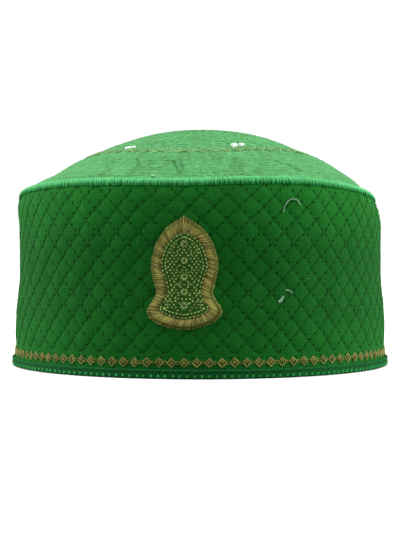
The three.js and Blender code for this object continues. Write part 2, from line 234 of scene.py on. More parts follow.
def read_table(rows, column, key):
    """A smooth curve through one column of a table, read at each value of key."""
    rows = np.asarray(rows, float)
    keys, values = rows[:, 0], rows[:, column]
    last = len(keys) - 1
    low = np.maximum(np.arange(last + 1) - 1, 0)
    high = np.minimum(np.arange(last + 1) + 1, last)
    slopes = (values[high] - values[low]) / (keys[high] - keys[low])
    row = np.clip(np.searchsorted(keys, key, side="right") - 1, 0, last - 1)
    span = keys[row + 1] - keys[row]
    t = np.clip((key - keys[row]) / span, 0, 1)
    from_start = (1 + 2 * t) * (1 - t) ** 2 * values[row]
    from_end = t * t * (3 - 2 * t) * values[row + 1]
    from_slopes = span * t * (1 - t) * ((1 - t) * slopes[row] - t * slopes[row + 1])
    return from_start + from_end + from_slopes


def smoothstep(x, low, high):
    t = np.clip((x - low) / (high - low), 0, 1)
    return t * t * (3 - 2 * t)


def window(x, fades_in, fades_out):
    """One between two limits and none beyond them. Each limit is the span that it fades over."""
    return smoothstep(x, *fades_in) * (1 - smoothstep(x, *fades_out))


def mix(a, b, t):
    return a + (b - a) * t


def near_end(share):
    """Nothing up to four fifths of the way, and one at the end."""
    return smoothstep(share, 0.8, 1)


def signed(angle):
    """The same angle, from -180 to 180 degrees."""
    return np.mod(angle + 180, 360) - 180


WAVES = np.array(RIM_WAVES, float)
WAVES_ALL_ROUND = np.concatenate([WAVES[-2:] - (360, 0, 0, 0), WAVES, WAVES[:2] + (360, 0, 0, 0)])


def wave(column, angle):
    return read_table(WAVES_ALL_ROUND, column, np.mod(angle, 360))


def band_radius(height):
    share = np.clip(height / BAND_HEIGHT, 0, 1)
    return mix(SEAM_RADIUS, BAND_RADIUS, read_table(BAND_SECTIONS, 1, share))


def crown_height(radius, angle):
    share = np.clip(radius / SEAM_RADIUS, 0, 1)
    ahead, aside = np.cos(np.radians(angle)), np.sin(np.radians(angle))
    rises = [read_table(CROWN_SECTIONS, side, share) for side in (FRONT, RIGHT, BACK, LEFT)]
    lengthwise = np.where(ahead > 0, rises[0], rises[2])
    sideways = np.where(aside > 0, rises[1], rises[3])
    return BAND_HEIGHT + CROWN_RISE * (lengthwise * ahead**2 + sideways * aside**2)


def settled(radius, angle, height):
    """Points of the soft cap, from radius, angle and height on a flat-rimmed round one."""
    radius, angle, height = np.broadcast_arrays(radius, angle, height)
    up = np.clip(height / BAND_HEIGHT, 0, 1)
    outward = np.clip(radius / SEAM_RADIUS, 0, 1) ** 2
    near_rim = near_end(up) * outward
    strays = wave(TUCK, angle) * near_rim + wave(BELLY, angle) * np.sin(np.pi * up)
    radius = radius + HEM_RADIUS * strays
    height = height + BAND_HEIGHT * wave(LIFT, angle) * near_rim
    turn = np.radians(angle)
    return np.stack([radius * np.sin(turn), -radius * np.cos(turn), height], -1)


def ripple(angle, level, seed, waves=24):
    """A soft unevenness from -1 to 1 that repeats after a turn."""
    chance = np.random.default_rng(seed)
    total = np.zeros(np.broadcast(angle, level).shape)
    for _ in range(waves):
        round_it = chance.integers(2, 46)
        rising = chance.uniform(-55, 55)
        start = chance.uniform(0, 2 * np.pi)
        total += np.sin(round_it * np.radians(angle) + rising * level / BAND_HEIGHT / 4 + start)
    return total / waves**0.5 / 1.6


def level_of(angle, height):
    """The level that a height on the band's outside comes to where the soft rim lifts it."""
    return height + BAND_HEIGHT * wave(LIFT, angle) * near_end(height / BAND_HEIGHT)


def height_of(angle, level):
    """The height on the band's outside that comes to a level."""
    height = level
    for _ in range(12):
        height = height + level - level_of(angle, height)
    return np.minimum(height, BAND_HEIGHT)


def quilt_stray(angle, level):
    """How far the lattice strays from even, in degrees: it is wider in front, leans outwards as it
    rises, and wavers."""
    lean = np.sin(np.radians(angle)) * (3.2 + 0.09 * (level / MM - 45))
    return lean + 0.35 * ripple(angle, level, 51, 12)


def quilt_place(angle, level):
    """Where a point of the band lies in the lattice, in diamonds across and up."""
    across = (angle - QUILT_TURN - quilt_stray(angle, level)) / (360 / QUILT_CELLS)
    return across, (level - QUILT_LOWEST_ROW) / QUILT_CELL_HEIGHT


def from_quilt(across, level):
    """The angle at which a line of the lattice passes a level."""
    even = QUILT_TURN + across * 360 / QUILT_CELLS
    angle = even
    for _ in range(8):
        angle = even + quilt_stray(angle, level)
    return angle


def motif_outline(outer):
    """The motif's closed outline through its outer or inner points, across and up in metres."""
    first = 0 if outer else 2
    points = np.asarray(MOTIF_STATIONS)[:, first:first + 2] * (MOTIF_WIDTH, MOTIF_HEIGHT)
    padded = np.concatenate([points[:1], points, points[-1:]])
    half = []
    for i in range(len(points) - 1):
        p0, p1, p2, p3 = padded[i:i + 4]
        for step in range(OUTLINE_STEPS):
            t = step / OUTLINE_STEPS
            v0, v1 = (p2 - p0) / 2, (p3 - p1) / 2
            cubic = (2 * p1 - 2 * p2 + v0 + v1) * t**3
            half.append(cubic + (-3 * p1 + 3 * p2 - 2 * v0 - v1) * t**2 + v0 * t + p1)
    half.append(points[-1])
    half = np.array(half)
    right_again = half[1:-1][::-1]
    return np.concatenate([half * (-1, 1), right_again])


def inside(outline, across, up):
    """Whether each point lies inside a closed outline."""
    found = np.zeros(np.broadcast(across, up).shape, bool)
    x0, y0 = outline[-1]
    for x1, y1 in outline:
        if y0 != y1:
            crosses = ((y1 > up) != (y0 > up)) & (across < (x0 - x1) * (up - y1) / (y0 - y1) + x1)
            found ^= crosses
        x0, y0 = x1, y1
    return found


def under_motif(angle, height, margin):
    """Whether a place on the band lies under the motif, or within a margin of it."""
    across = np.radians(angle) * band_radius(MOTIF_LEVEL)
    outline = motif_outline(True)
    grown = outline * (1 + margin / np.linalg.norm(outline, axis=1, keepdims=True))
    return inside(grown, across, height - MOTIF_LEVEL)


def quilt_relief(angle, height, depth):
    """How far the band's outside is drawn in between its pillows, zero or less."""
    across, up = quilt_place(angle, level_of(angle, height))
    pillow = np.abs(np.sin(np.pi * (across + up)) * np.sin(np.pi * (across - up)))
    return -depth * (1 - pillow**0.36) * window(height, QUILT_FADES_IN, QUILT_FADES_OUT)


def band_at(angle, height, above):
    return settled(band_radius(height) + above, angle, height)


def crown_at(angle, radius, above):
    """A point of the crown's outside, and square above it."""
    step = 0.3 * MM
    slope = (crown_height(radius + step, angle) - crown_height(radius - step, angle)) / (2 * step)
    length = np.hypot(1, slope)
    near_edge = near_end(radius / (SEAM_RADIUS - CROWN_WALL))
    height = crown_height(radius, angle) + SEWN_GAP * MITRE * near_edge
    return settled(radius - above * slope / length, angle, height + above / length)


def seam_ends():
    """The seam's lower end on the band and its upper end on the crown, as radius and height."""
    low_height = BAND_HEIGHT - SEAM_WIDTH * SEAM_ON_BAND
    low = (float(band_radius(low_height)) + 0.05 * MM, low_height)
    high_radius = SEAM_RADIUS - SEAM_WIDTH * SEAM_ON_CROWN
    high = (high_radius, float(crown_height(high_radius, 0.0)) + SEWN_GAP * 2)
    return np.array(low), np.array(high)


def seam_at(angle, share, above):
    """A point of the seam: share 0 is on the band and 1 is on the crown."""
    low, high = seam_ends()
    radius = mix(low[0], high[0], share) + above * MITRE
    return settled(radius, angle, mix(low[1], high[1], share) + above * MITRE)


def motif_at(across, up, above):
    height = MOTIF_LEVEL + up
    radius = band_radius(height) + SEWN_GAP + above
    return settled(radius, np.degrees(across / band_radius(MOTIF_LEVEL)), height)


# Meshes

# Columns of the plain meshes round the cap, and the angle of each.
COLUMNS = 480
ROUND = np.arange(COLUMNS) * 360 / COLUMNS


def way_round(radius):
    """The length run round the cap to each column, and to the first one again."""
    return np.arange(COLUMNS + 1) / COLUMNS * 2 * np.pi * radius


def add_object(name, data):
    made = bpy.data.objects.new(name, data)
    bpy.context.scene.collection.objects.link(made)
    return made


def new_piece(name, mesh, material):
    piece = add_object(name, mesh)
    mesh.materials.clear()
    mesh.materials.append(material)
    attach(piece, "root")
    return piece


def cloth_mesh(name, grid, map_name, across, along, poles=None):
    """A closed mesh from rows of points that run round the cap. The rows close on each other, or
    on two poles. In the piece's own map, across places each column, and along each row or each
    point of a row."""
    rows, columns = grid.shape[:2]
    points = grid.reshape(-1, 3)
    along = np.broadcast_to(np.reshape(along, (len(along), -1)), (len(along), columns + 1))
    r, c = np.indices((rows if poles is None else rows - 1, columns)).reshape(2, -1, 1)
    r, c = r + (0, 0, 1, 1), c + (0, 1, 1, 0)
    faces = (r % rows * columns + c % columns).tolist()
    places = np.stack([across[c], along[r, c]], -1).reshape(-1, 2).tolist()
    if poles is not None:
        for i in range(columns):
            for pole, row, ends in ((0, 0, (i + 1, i)), (1, rows - 1, (i, i + 1))):
                faces.append([len(points) + pole, *(row * columns + end % columns for end in ends)])
                places.append(((across[i] + across[i + 1]) / 2, along[row, i]))
                places += [(across[end], along[row, i]) for end in ends]
        points = np.concatenate([points, poles])
    mesh = bpy.data.meshes.new(name)
    mesh.from_pydata(points.tolist(), [], faces)
    layer = mesh.uv_layers.new(name=map_name)
    layer.data.foreach_set("uv", np.array(places, np.float32).ravel())
    solid = bmesh.new()
    solid.from_mesh(mesh)
    if solid.calc_volume(signed=True) < 0:
        mesh.flip_normals()
    solid.free()
    mesh.shade_smooth()
    mesh.update()
    return mesh


# Nodes

def socket_of(sockets, name):
    for socket in sockets:
        if socket.name == name and socket.enabled:
            return socket
    raise KeyError(name)


class Graph:
    """Short words for putting nodes into a material or a group."""

    def __init__(self, tree):
        self.tree = tree

    def node(self, kind, **settings):
        made = self.tree.nodes.new(kind)
        for key, value in settings.items():
            setattr(made, key, value)
        return made

    def feed(self, socket, value):
        if isinstance(value, bpy.types.NodeSocket):
            self.tree.links.new(value, socket)
        elif value is not None:
            socket.default_value = value

    def fill(self, made, values):
        """Feeds the sockets that values names. An underscore stands for a space."""
        for name, value in values.items():
            self.feed(socket_of(made.inputs, name.replace("_", " ")), value)

    def fed(self, kind, settings=(), **values):
        """The first output of a new node whose named sockets are fed."""
        made = self.node(kind, **dict(settings))
        self.fill(made, values)
        return next(socket for socket in made.outputs if socket.enabled)

    def group(self, tree, **values):
        """The outputs of a group placed with its own values."""
        made = self.node("ShaderNodeGroup", node_tree=tree)
        self.fill(made, values)
        return made.outputs

    def math(self, operation, *values):
        made = self.node("ShaderNodeMath", operation=operation)
        for socket, value in zip(made.inputs, values):
            self.feed(socket, value)
        return made.outputs[0]

    def plus(self, first, second):
        return self.math("ADD", first, second)

    def minus(self, first, second):
        return self.math("SUBTRACT", first, second)

    def times(self, first, second):
        return self.math("MULTIPLY", first, second)

    def absolute(self, value):
        return self.math("ABSOLUTE", value)

    def ramp(self, value, low, high, to_low=0.0, to_high=1.0):
        made = self.node("ShaderNodeMapRange", interpolation_type="SMOOTHSTEP")
        for socket, given in zip(made.inputs, (value, low, high, to_low, to_high)):
            self.feed(socket, given)
        return made.outputs[0]

    def blend(self, share, first, second, kind="MIX"):
        made = self.node("ShaderNodeMix", data_type="RGBA", blend_type=kind)
        for place, value in ((0, share), (6, first), (7, second)):
            self.feed(made.inputs[place], value)
        return made.outputs[2]

    def noise(self, place, scale, detail=3.0, rough=0.5):
        return self.fed("ShaderNodeTexNoise", Vector=place, Scale=scale, Detail=detail,
                        Roughness=rough)

    def split(self, place):
        made = self.node("ShaderNodeSeparateXYZ")
        self.feed(made.inputs[0], place)
        return made.outputs

    def combine(self, x=0.0, y=0.0, z=0.0):
        return self.fed("ShaderNodeCombineXYZ", X=x, Y=y, Z=z)


def node_group(name, kind, inputs, outputs):
    """Turns a function that fills a group with nodes into one that gives the group, made once.
    inputs holds each socket's name, kind and default, and outputs each one's name and kind."""
    def wrap(fill):
        @functools.wraps(fill)
        def give():
            if name in bpy.data.node_groups:
                return bpy.data.node_groups[name]
            tree = bpy.data.node_groups.new(name, kind)
            for label, sort, default in inputs:
                socket = tree.interface.new_socket(
                    label, in_out="INPUT", socket_type="NodeSocket" + sort)
                if default is not None:
                    socket.default_value = default
            for label, sort in outputs:
                tree.interface.new_socket(
                    label, in_out="OUTPUT", socket_type="NodeSocket" + sort)
            g = Graph(tree)
            fill(g, g.node("NodeGroupInput").outputs, g.node("NodeGroupOutput").inputs)
            return tree
        return give
    return wrap


# Stitches

@node_group(
    "Sewn stitches", "GeometryNodeTree",
    [("Places", "Geometry", None), ("Bow", "Float", 0.8), ("Blunt", "Float", 0.6),
     ("Sides", "Int", 5), ("Segments", "Int", 3), ("Wander", "Float", 0.05), ("Seed", "Int", 1),
     ("Thread", "Material", None)],
    [("Stitches", "Geometry")])
def stitch_tree(g, given, result):
    """Lays one bowed thread on each point, turned and sized by the point's own values."""
    # The thread: a straight tube, thinner towards its two ends, then bent into a bow.
    line = g.fed("GeometryNodeCurvePrimitiveLine", Start=(-0.5, 0, 0), End=(0.5, 0, 0))
    cut = g.fed("GeometryNodeResampleCurve", Curve=line, Count=g.plus(given["Segments"], 1))
    place = g.fed("GeometryNodeInputPosition")
    from_middle = g.absolute(g.times(g.split(place)["X"], 2))
    thinner = g.times(g.math("POWER", from_middle, 4), g.minus(1, given["Blunt"]))
    tapered = g.fed("GeometryNodeSetCurveRadius", Curve=cut, Radius=g.minus(1, thinner))
    ring = g.fed("GeometryNodeCurvePrimitiveCircle", Radius=0.5, Resolution=given["Sides"])
    skin = g.fed("GeometryNodeCurveToMesh", Fill_Caps=True, Curve=tapered, Profile_Curve=ring)
    kept = g.fed("GeometryNodeStoreNamedAttribute",
                 {"data_type": "FLOAT_VECTOR", "domain": "POINT"},
                 Name="strand", Geometry=skin, Value=place)
    drop = g.minus(1, g.math("POWER", from_middle, 2))
    bent = g.fed("GeometryNodeSetPosition", Geometry=kept,
                 Offset=g.combine(z=g.times(drop, given["Bow"])))

    # One thread on each point.
    def of_point(name):
        return g.fed("GeometryNodeInputNamedAttribute", {"data_type": "FLOAT_VECTOR"}, Name=name)

    axes = g.fed("FunctionNodeAxesToRotation", {"primary_axis": "Z", "secondary_axis": "X"},
                 Primary_Axis=of_point("stitch_up"), Secondary_Axis=of_point("stitch_along"))
    stray = g.fed("FunctionNodeRandomValue", {"data_type": "FLOAT_VECTOR"},
                  Min=g.combine(z=g.times(given["Wander"], -1)), Max=g.combine(z=given["Wander"]),
                  Seed=given["Seed"])
    turn = g.fed("FunctionNodeRotateRotation", {"rotation_space": "LOCAL"}, Rotation=axes,
                 Rotate_By=stray)
    laid = g.fed("GeometryNodeInstanceOnPoints", Points=given["Places"], Instance=bent,
                 Rotation=turn, Scale=of_point("stitch_size"))
    tone = g.fed("FunctionNodeRandomValue", {"data_type": "FLOAT"},
                 Seed=g.plus(given["Seed"], 31))
    marked = g.fed("GeometryNodeStoreNamedAttribute", {"data_type": "FLOAT", "domain": "INSTANCE"},
                   Name="tone", Geometry=laid, Value=tone)
    real = g.fed("GeometryNodeRealizeInstances", Geometry=marked)
    smooth = g.fed("GeometryNodeSetShadeSmooth", Geometry=real)
    dyed = g.fed("GeometryNodeSetMaterial", Geometry=smooth, Material=given["Thread"])
    g.feed(result[0], dyed)


def between(surface, starts, ends, above=0.0):
    """Stitches from starts to ends, both places on a surface: their middles, directions along
    and outwards, and lengths."""
    starts, ends = np.asarray(starts, float), np.asarray(ends, float)
    middle = (starts + ends) / 2
    along = surface(*ends.T, above) - surface(*starts.T, above)
    length = np.linalg.norm(along, axis=1)
    place = surface(*middle.T, above)
    out = surface(*middle.T, above + 0.1 * MM) - place
    return place, along / length[:, None], out / np.linalg.norm(out, axis=1, keepdims=True), length


def sew(name, stitches, width, height, thread, slot, **inputs):
    """Sews stitches from between() as one piece. inputs are the stitch tree's own."""
    place, along, out, length = stitches
    size = np.stack(np.broadcast_arrays(length, width, height), 1)
    mesh = bpy.data.meshes.new(name)
    mesh.from_pydata(place.tolist(), [], [])
    for label, values in (("stitch_along", along), ("stitch_up", out), ("stitch_size", size)):
        layer = mesh.attributes.new(label, "FLOAT_VECTOR", "POINT")
        layer.data.foreach_set("vector", np.ascontiguousarray(values, np.float32).ravel())
    places = add_object(name, mesh)
    modifier = places.modifiers.new("Stitches", "NODES")
    modifier.node_group = stitch_tree()
    values = {"Thread": thread, **inputs}
    for socket in modifier.node_group.interface.items_tree:
        if socket.in_out == "INPUT" and socket.name in values:
            modifier[socket.identifier] = values[socket.name]
    ready = places.evaluated_get(bpy.context.evaluated_depsgraph_get())
    finished = bpy.data.meshes.new_from_object(ready)
    bpy.data.objects.remove(places)
    bpy.data.meshes.remove(mesh)
    finished.name = name
    for label in ("stitch_along", "stitch_up", "stitch_size"):
        finished.attributes.remove(finished.attributes[label])
    return new_piece(name, finished, thread)


# Materials

@node_group(
    "Cloth weave", "ShaderNodeTree",
    [("Place", "Vector", None), ("Yarns", "Float", 2400.0), ("Slub", "Float", 0.35)],
    [("Height", "Float"), ("Shade", "Float")])
def weave_group(g, given, result):
    """Over-and-under yarns of a cloth, from a place given in metres."""
    x, y, _ = g.split(given["Place"])
    warp = g.math("SINE", g.times(x, given["Yarns"]))
    weft = g.math("SINE", g.times(y, given["Yarns"]))
    over = g.times(g.absolute(warp), g.absolute(weft))
    slub = g.noise(given["Place"], g.times(given["Yarns"], 0.16), 4.0, 0.6)
    g.feed(result["Height"], g.plus(over, g.times(g.minus(slub, 0.5), given["Slub"])))
    g.feed(result["Shade"], g.plus(g.times(over, 0.3), slub))


@node_group(
    "Cloth patches", "ShaderNodeTree",
    [("Place", "Vector", None), ("Size", "Float", 0.02), ("Amount", "Float", 0.2)],
    [("Factor", "Float")])
def wear_group(g, given, result):
    """Soft light and dark patches where cloth has rubbed, been pressed or gathered dust."""
    scale = g.math("DIVIDE", 1.0, given["Size"])
    broad = g.noise(given["Place"], scale, 2.0, 0.5)
    fine = g.noise(given["Place"], g.times(scale, 9.0), 4.0, 0.65)
    both = g.plus(g.times(broad, 0.55), g.times(fine, 0.45))
    swing = g.times(g.minus(both, 0.5), given["Amount"])
    g.feed(result["Factor"], g.plus(1.0, g.times(swing, 4.0)))


@node_group(
    "Needle holes", "ShaderNodeTree",
    [("Lattice", "Vector", None), ("Hole size", "Float", 0.095), ("Line width", "Float", 0.1),
     ("Rise", "Float", 0.23), ("First", "Float", 0.07)],
    [("Hole", "Float"), ("Line", "Float")])
def needle_group(g, given, result):
    """Needle holes and drawn-in lines of the quilting, from a place in the lattice."""
    u, v, _ = g.split(given["Lattice"])

    def from_whole(x):
        return g.minus(g.math("FRACT", g.plus(x, 0.5)), 0.5)

    step = from_whole(g.math("DIVIDE", g.minus(v, given["First"]), given["Rise"]))
    off_row = g.times(step, given["Rise"])
    off_row_square = g.times(off_row, off_row)
    holes, lines = [], []
    for family, back in (("ADD", "SUBTRACT"), ("SUBTRACT", "ADD")):
        off_line = from_whole(g.math(family, u, v))
        aside = g.math(back, off_line, off_row)
        holes.append(g.math("SQRT", g.plus(g.times(aside, aside), g.times(off_row_square, 1.3))))
        lines.append(g.absolute(off_line))
    hole, line = g.math("MINIMUM", *holes), g.math("MINIMUM", *lines)
    middle = g.times(given["Hole size"], 0.2)
    g.feed(result["Hole"], g.ramp(hole, middle, given["Hole size"], 1.0, 0.0))
    g.feed(result["Line"], g.ramp(line, 0.0, given["Line width"], 1.0, 0.0))


# Streaks of the ribbed cloth: turn in degrees, how fine they are across and along in waves a
# metre, and their share.
STREAKS = ((0, 560.0, 70.0, 0.5), (90, 620.0, 60.0, 0.45), (38, 480.0, 90.0, 0.4),
           (0, 260.0, 230.0, 0.6))


@node_group(
    "Fine streaks", "ShaderNodeTree", [("Place", "Vector", None), ("Amount", "Float", 1.0)],
    [("Height", "Float"), ("Factor", "Float")])
def streak_group(g, given, result):
    """Fine light and dark streaks of ribbed cloth: across the rows, along them and aslant."""
    x, y, _ = g.split(given["Place"])
    swings = []
    for turn, fine, coarse, share in STREAKS:
        c, s = math.cos(math.radians(turn)), math.sin(math.radians(turn))
        ahead = g.plus(g.times(x, c), g.times(y, s))
        aside = g.minus(g.times(y, c), g.times(x, s))
        place = g.combine(g.times(ahead, fine), g.times(aside, coarse), turn)
        swings.append(g.times(g.minus(g.noise(place, 1.0, 3.0, 0.6), 0.5), share))
    total = functools.reduce(g.plus, swings)
    g.feed(result["Height"], total)
    g.feed(result["Factor"], g.math("MULTIPLY_ADD", total, given["Amount"], 1.0))


@node_group(
    "Thread twist", "ShaderNodeTree",
    [("Strand", "Vector", None), ("Tone", "Float", 0.5), ("Plies", "Float", 4.0),
     ("Contrast", "Float", 0.5), ("End shade", "Float", 0.6)],
    [("Height", "Float"), ("Factor", "Float")])
def twist_group(g, given, result):
    """The plies of a twisted thread, raised and in painted light and shade, and the painted shade
    where its ends go into the cloth.
    """
    x, y, _ = g.split(given["Strand"])
    run = g.plus(g.times(x, given["Plies"]), g.times(y, 0.8))
    ply = g.absolute(g.math("SINE", g.times(run, math.pi)))
    end = g.ramp(g.times(g.absolute(x), 2.0), 0.62, 1.0)
    tone = g.times(g.minus(given["Tone"], 0.5), given["Contrast"])
    # Random tone, with painted light on the crown of each ply and painted shade in the grooves
    # between.
    tone_and_ply_shade = g.plus(g.plus(0.82, tone), g.times(ply, 0.28))
    g.feed(result["Height"], ply)
    g.feed(result["Factor"], g.times(tone_and_ply_shade, g.minus(1.0, g.times(end, given["End shade"]))))


def paler(colour, times, plus):
    return [min(1.0, c * times + plus) for c in colour]


def material_start(name, roughness, sheen, sheen_tint, specular):
    """A new material's graph and its shader's inputs, with what is the same all over set there."""
    material = bpy.data.materials.new(name)
    material.use_nodes = True
    shader = material.node_tree.nodes["Principled BSDF"].inputs
    for socket, value in (("Roughness", roughness), ("Sheen Weight", sheen),
                          ("Sheen Roughness", 0.4), ("Sheen Tint", (*sheen_tint, 1.0)),
                          ("Specular IOR Level", specular)):
        shader[socket].default_value = value
    return material, Graph(material.node_tree), shader


def finish_surface(g, shader, dye, factor, height, depth):
    """Gives a surface its dye, made lighter or darker by a factor, and its fine relief."""
    g.feed(shader["Base Color"], g.blend(1.0, dye, g.combine(factor, factor, factor), "MULTIPLY"))
    g.feed(shader["Normal"], g.fed("ShaderNodeBump", Strength=1.0, Distance=depth, Height=height))


# One step of the lattice in the weave's metres. Painted light on the band's cloth: two levels and
# how pale it is at each, near the seam and near the hem. It is painted lighter near the seam and
# the hem, where light from above and from the floor falls, and painted darker between them.
LATTICE_STEP = 10.1 * MM
PAINTED_LIGHT_ABOVE = (52 * MM, 78 * MM, 0.9, 1.22)
PAINTED_LIGHT_BELOW = (12 * MM, 32 * MM, 1.14, 0.9)


def quilted(g, factor, height, cell, place):
    """Needle holes, dented and in painted shade, sewn lines in painted shade, and painted light and
    shade by height.
    """
    needle = g.group(needle_group(), Lattice=cell, Rise=STITCH_RISE / QUILT_CELL_HEIGHT,
                     First=(FIRST_HOLE - QUILT_LOWEST_ROW) / QUILT_CELL_HEIGHT)
    # Painted shade in the needle holes, darker at some than at others.
    painted_hole_shade = g.ramp(g.noise(cell, 2.3, 2.0), 0.3, 0.7, 0.2, 0.55)
    holes = g.minus(1.0, g.times(needle["Hole"], painted_hole_shade))
    # A little painted shade along the sewn lines.
    lines = g.minus(1.0, g.times(needle["Line"], 0.06))
    level = g.split(place)[2]
    # Painted light near the seam and the hem, and painted shade between them.
    painted_light = g.math("MAXIMUM", g.ramp(level, *PAINTED_LIGHT_ABOVE), g.ramp(level, *PAINTED_LIGHT_BELOW))
    return g.times(g.times(g.times(factor, holes), lines), painted_light), g.minus(height, needle["Hole"])


def cloth_finish(name, colour, map_name, sheen, patchy, streaky=0.0):
    """Woven cloth. The map called lattice counts in diamonds of the quilting, others in metres."""
    material, g, shader = material_start(
        name, roughness=0.9, sheen=sheen, sheen_tint=paler(colour, 1.6, 0.12), specular=0.03)
    place = g.node("ShaderNodeTexCoord").outputs["Object"]
    cell = g.fed("ShaderNodeUVMap", {"uv_map": map_name})
    patches = g.group(wear_group(), Place=place, Size=0.018, Amount=patchy)["Factor"]
    on_lattice = map_name == "lattice"
    metres = g.fed("ShaderNodeVectorMath", {"operation": "SCALE"}, Vector=cell,
                   Scale=LATTICE_STEP if on_lattice else 1.0)
    weave = g.group(weave_group(), Place=metres)
    factor = g.times(patches, g.ramp(weave["Shade"], 0.2, 1.0, 0.88, 1.12))
    height = g.times(weave["Height"], 0.22)
    if on_lattice:
        factor, height = quilted(g, factor, height, cell, place)
    if streaky:
        streak = g.group(streak_group(), Place=cell, Amount=streaky)
        factor = g.times(factor, streak["Factor"])
        height = g.plus(height, g.times(streak["Height"], 1.4))
    finish_surface(g, shader, (*colour, 1.0), factor, height, 0.35 * MM)
    return material


def thread_finish(name, colour, *, sheen, contrast, specular=0.2, roughness=0.5, plies=4.0,
                  end_shade=0.6, painted_shade_end=None):
    """Twisted embroidery or sewing thread. painted_shade_end is a darker colour at its first end:
    painted shade that gives way to its own colour towards the middle.
    """
    material, g, shader = material_start(
        name, roughness, sheen, sheen_tint=paler(colour, 1.5, 0.1), specular=specular)
    place = g.node("ShaderNodeTexCoord").outputs["Object"]
    strand = g.node("ShaderNodeAttribute", attribute_name="strand").outputs["Vector"]
    tone = g.node("ShaderNodeAttribute", attribute_name="tone").outputs["Fac"]
    twist = g.group(twist_group(), Strand=strand, Tone=tone, Plies=plies, Contrast=contrast,
                    End_shade=end_shade)
    patches = g.group(wear_group(), Place=place, Size=0.012, Amount=0.12)["Factor"]
    dye = (*colour, 1.0)
    # Painted shade towards the thread's first end.
    if painted_shade_end:
        dye = g.blend(g.ramp(g.split(strand)[0], -0.5, -0.12), (*painted_shade_end, 1.0), dye)
    g.feed(shader["Roughness"], g.ramp(tone, 0.0, 1.0, roughness - 0.1, roughness + 0.1))
    finish_surface(g, shader, dye, g.times(twist["Factor"], patches), twist["Height"], 0.08 * MM)
    return material


# Pieces

def blended(first, second, share, brightness=1.0):
    """A colour part of the way from one to another, made lighter or darker."""
    return [mix(a, b, share) * brightness for a, b in zip(first, second)]


def soft_band(angle, height, unevenness):
    """Soft unevenness of the band, none at its edges."""
    edges = window(height, (6 * MM, 16 * MM), (78 * MM, 83 * MM))
    return ripple(angle, height, 5) * unevenness * edges


# Steps of the band's mesh for one diamond, and levels of its inside as shares of its height.
QUILT_STEPS = 12
BAND_INSIDE = (0.965, 0.93, 0.86, 0.76, 0.66, 0.56, 0.46, 0.36, 0.26, 0.16, 0.08)


class KUFI_OT_band(bpy.types.Operator):
    """Make the quilted band in place of its plain solid"""

    bl_idname = "kufi.band"
    bl_label = "Quilted band"

    def execute(self, context):
        cloth = context.scene.kufi_cloth
        columns = QUILT_STEPS * QUILT_CELLS
        around = np.arange(columns + 1) / QUILT_STEPS
        across = around[:-1]

        # The outside, along the lattice. Its top rows follow the soft rim.
        low = np.linspace(BAND_FOOT, QUILT_LOWEST_ROW, 11)[:-1]
        high = np.arange(QUILT_LOWEST_ROW, BAND_HEIGHT - 0.3 * MM, QUILT_CELL_HEIGHT / QUILT_STEPS)
        even = np.concatenate([low, high, [BAND_HEIGHT]])[:, None]
        rim = level_of(from_quilt(across, BAND_HEIGHT), BAND_HEIGHT)
        level = even + (rim - BAND_HEIGHT) * smoothstep(even, 77 * MM, BAND_HEIGHT)
        angle = from_quilt(across, level)
        outside = height_of(angle, level)
        outside[-1] = BAND_HEIGHT
        relief = quilt_relief(angle, outside, cloth.quilt_depth)
        relief = relief + soft_band(angle, outside, cloth.unevenness)
        flat = under_motif(angle, outside, 0.5 * MM)
        relief = np.where(flat, np.minimum(relief, 0), relief)
        outer = settled(band_radius(outside) + relief, angle, outside)

        # The plain inside, mitred where it meets the crown.
        heights = np.append(np.array(BAND_INSIDE) * BAND_HEIGHT, BAND_FOOT)
        radius = np.append(SEAM_RADIUS - BAND_WALL * MITRE, band_radius(heights) - BAND_WALL)
        heights = np.append(BAND_HEIGHT - BAND_WALL * MITRE, heights)[:, None]
        inner = settled(radius[:, None], from_quilt(across, heights), heights)

        levels = np.concatenate([level, np.tile(np.append(heights, BAND_FOOT)[:, None], columns)])
        levels = np.concatenate([levels, levels[:, :1]], 1)
        up = (levels - QUILT_LOWEST_ROW) / QUILT_CELL_HEIGHT
        mesh = cloth_mesh("quilted_band", np.concatenate([outer, inner]), "lattice", around, up)
        finish = cloth_finish("band cloth", cloth.band_green, "lattice", sheen=0.4, patchy=0.16)
        piece = new_piece("quilted_band", mesh, finish)
        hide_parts("side_band")
        return {"FINISHED"}


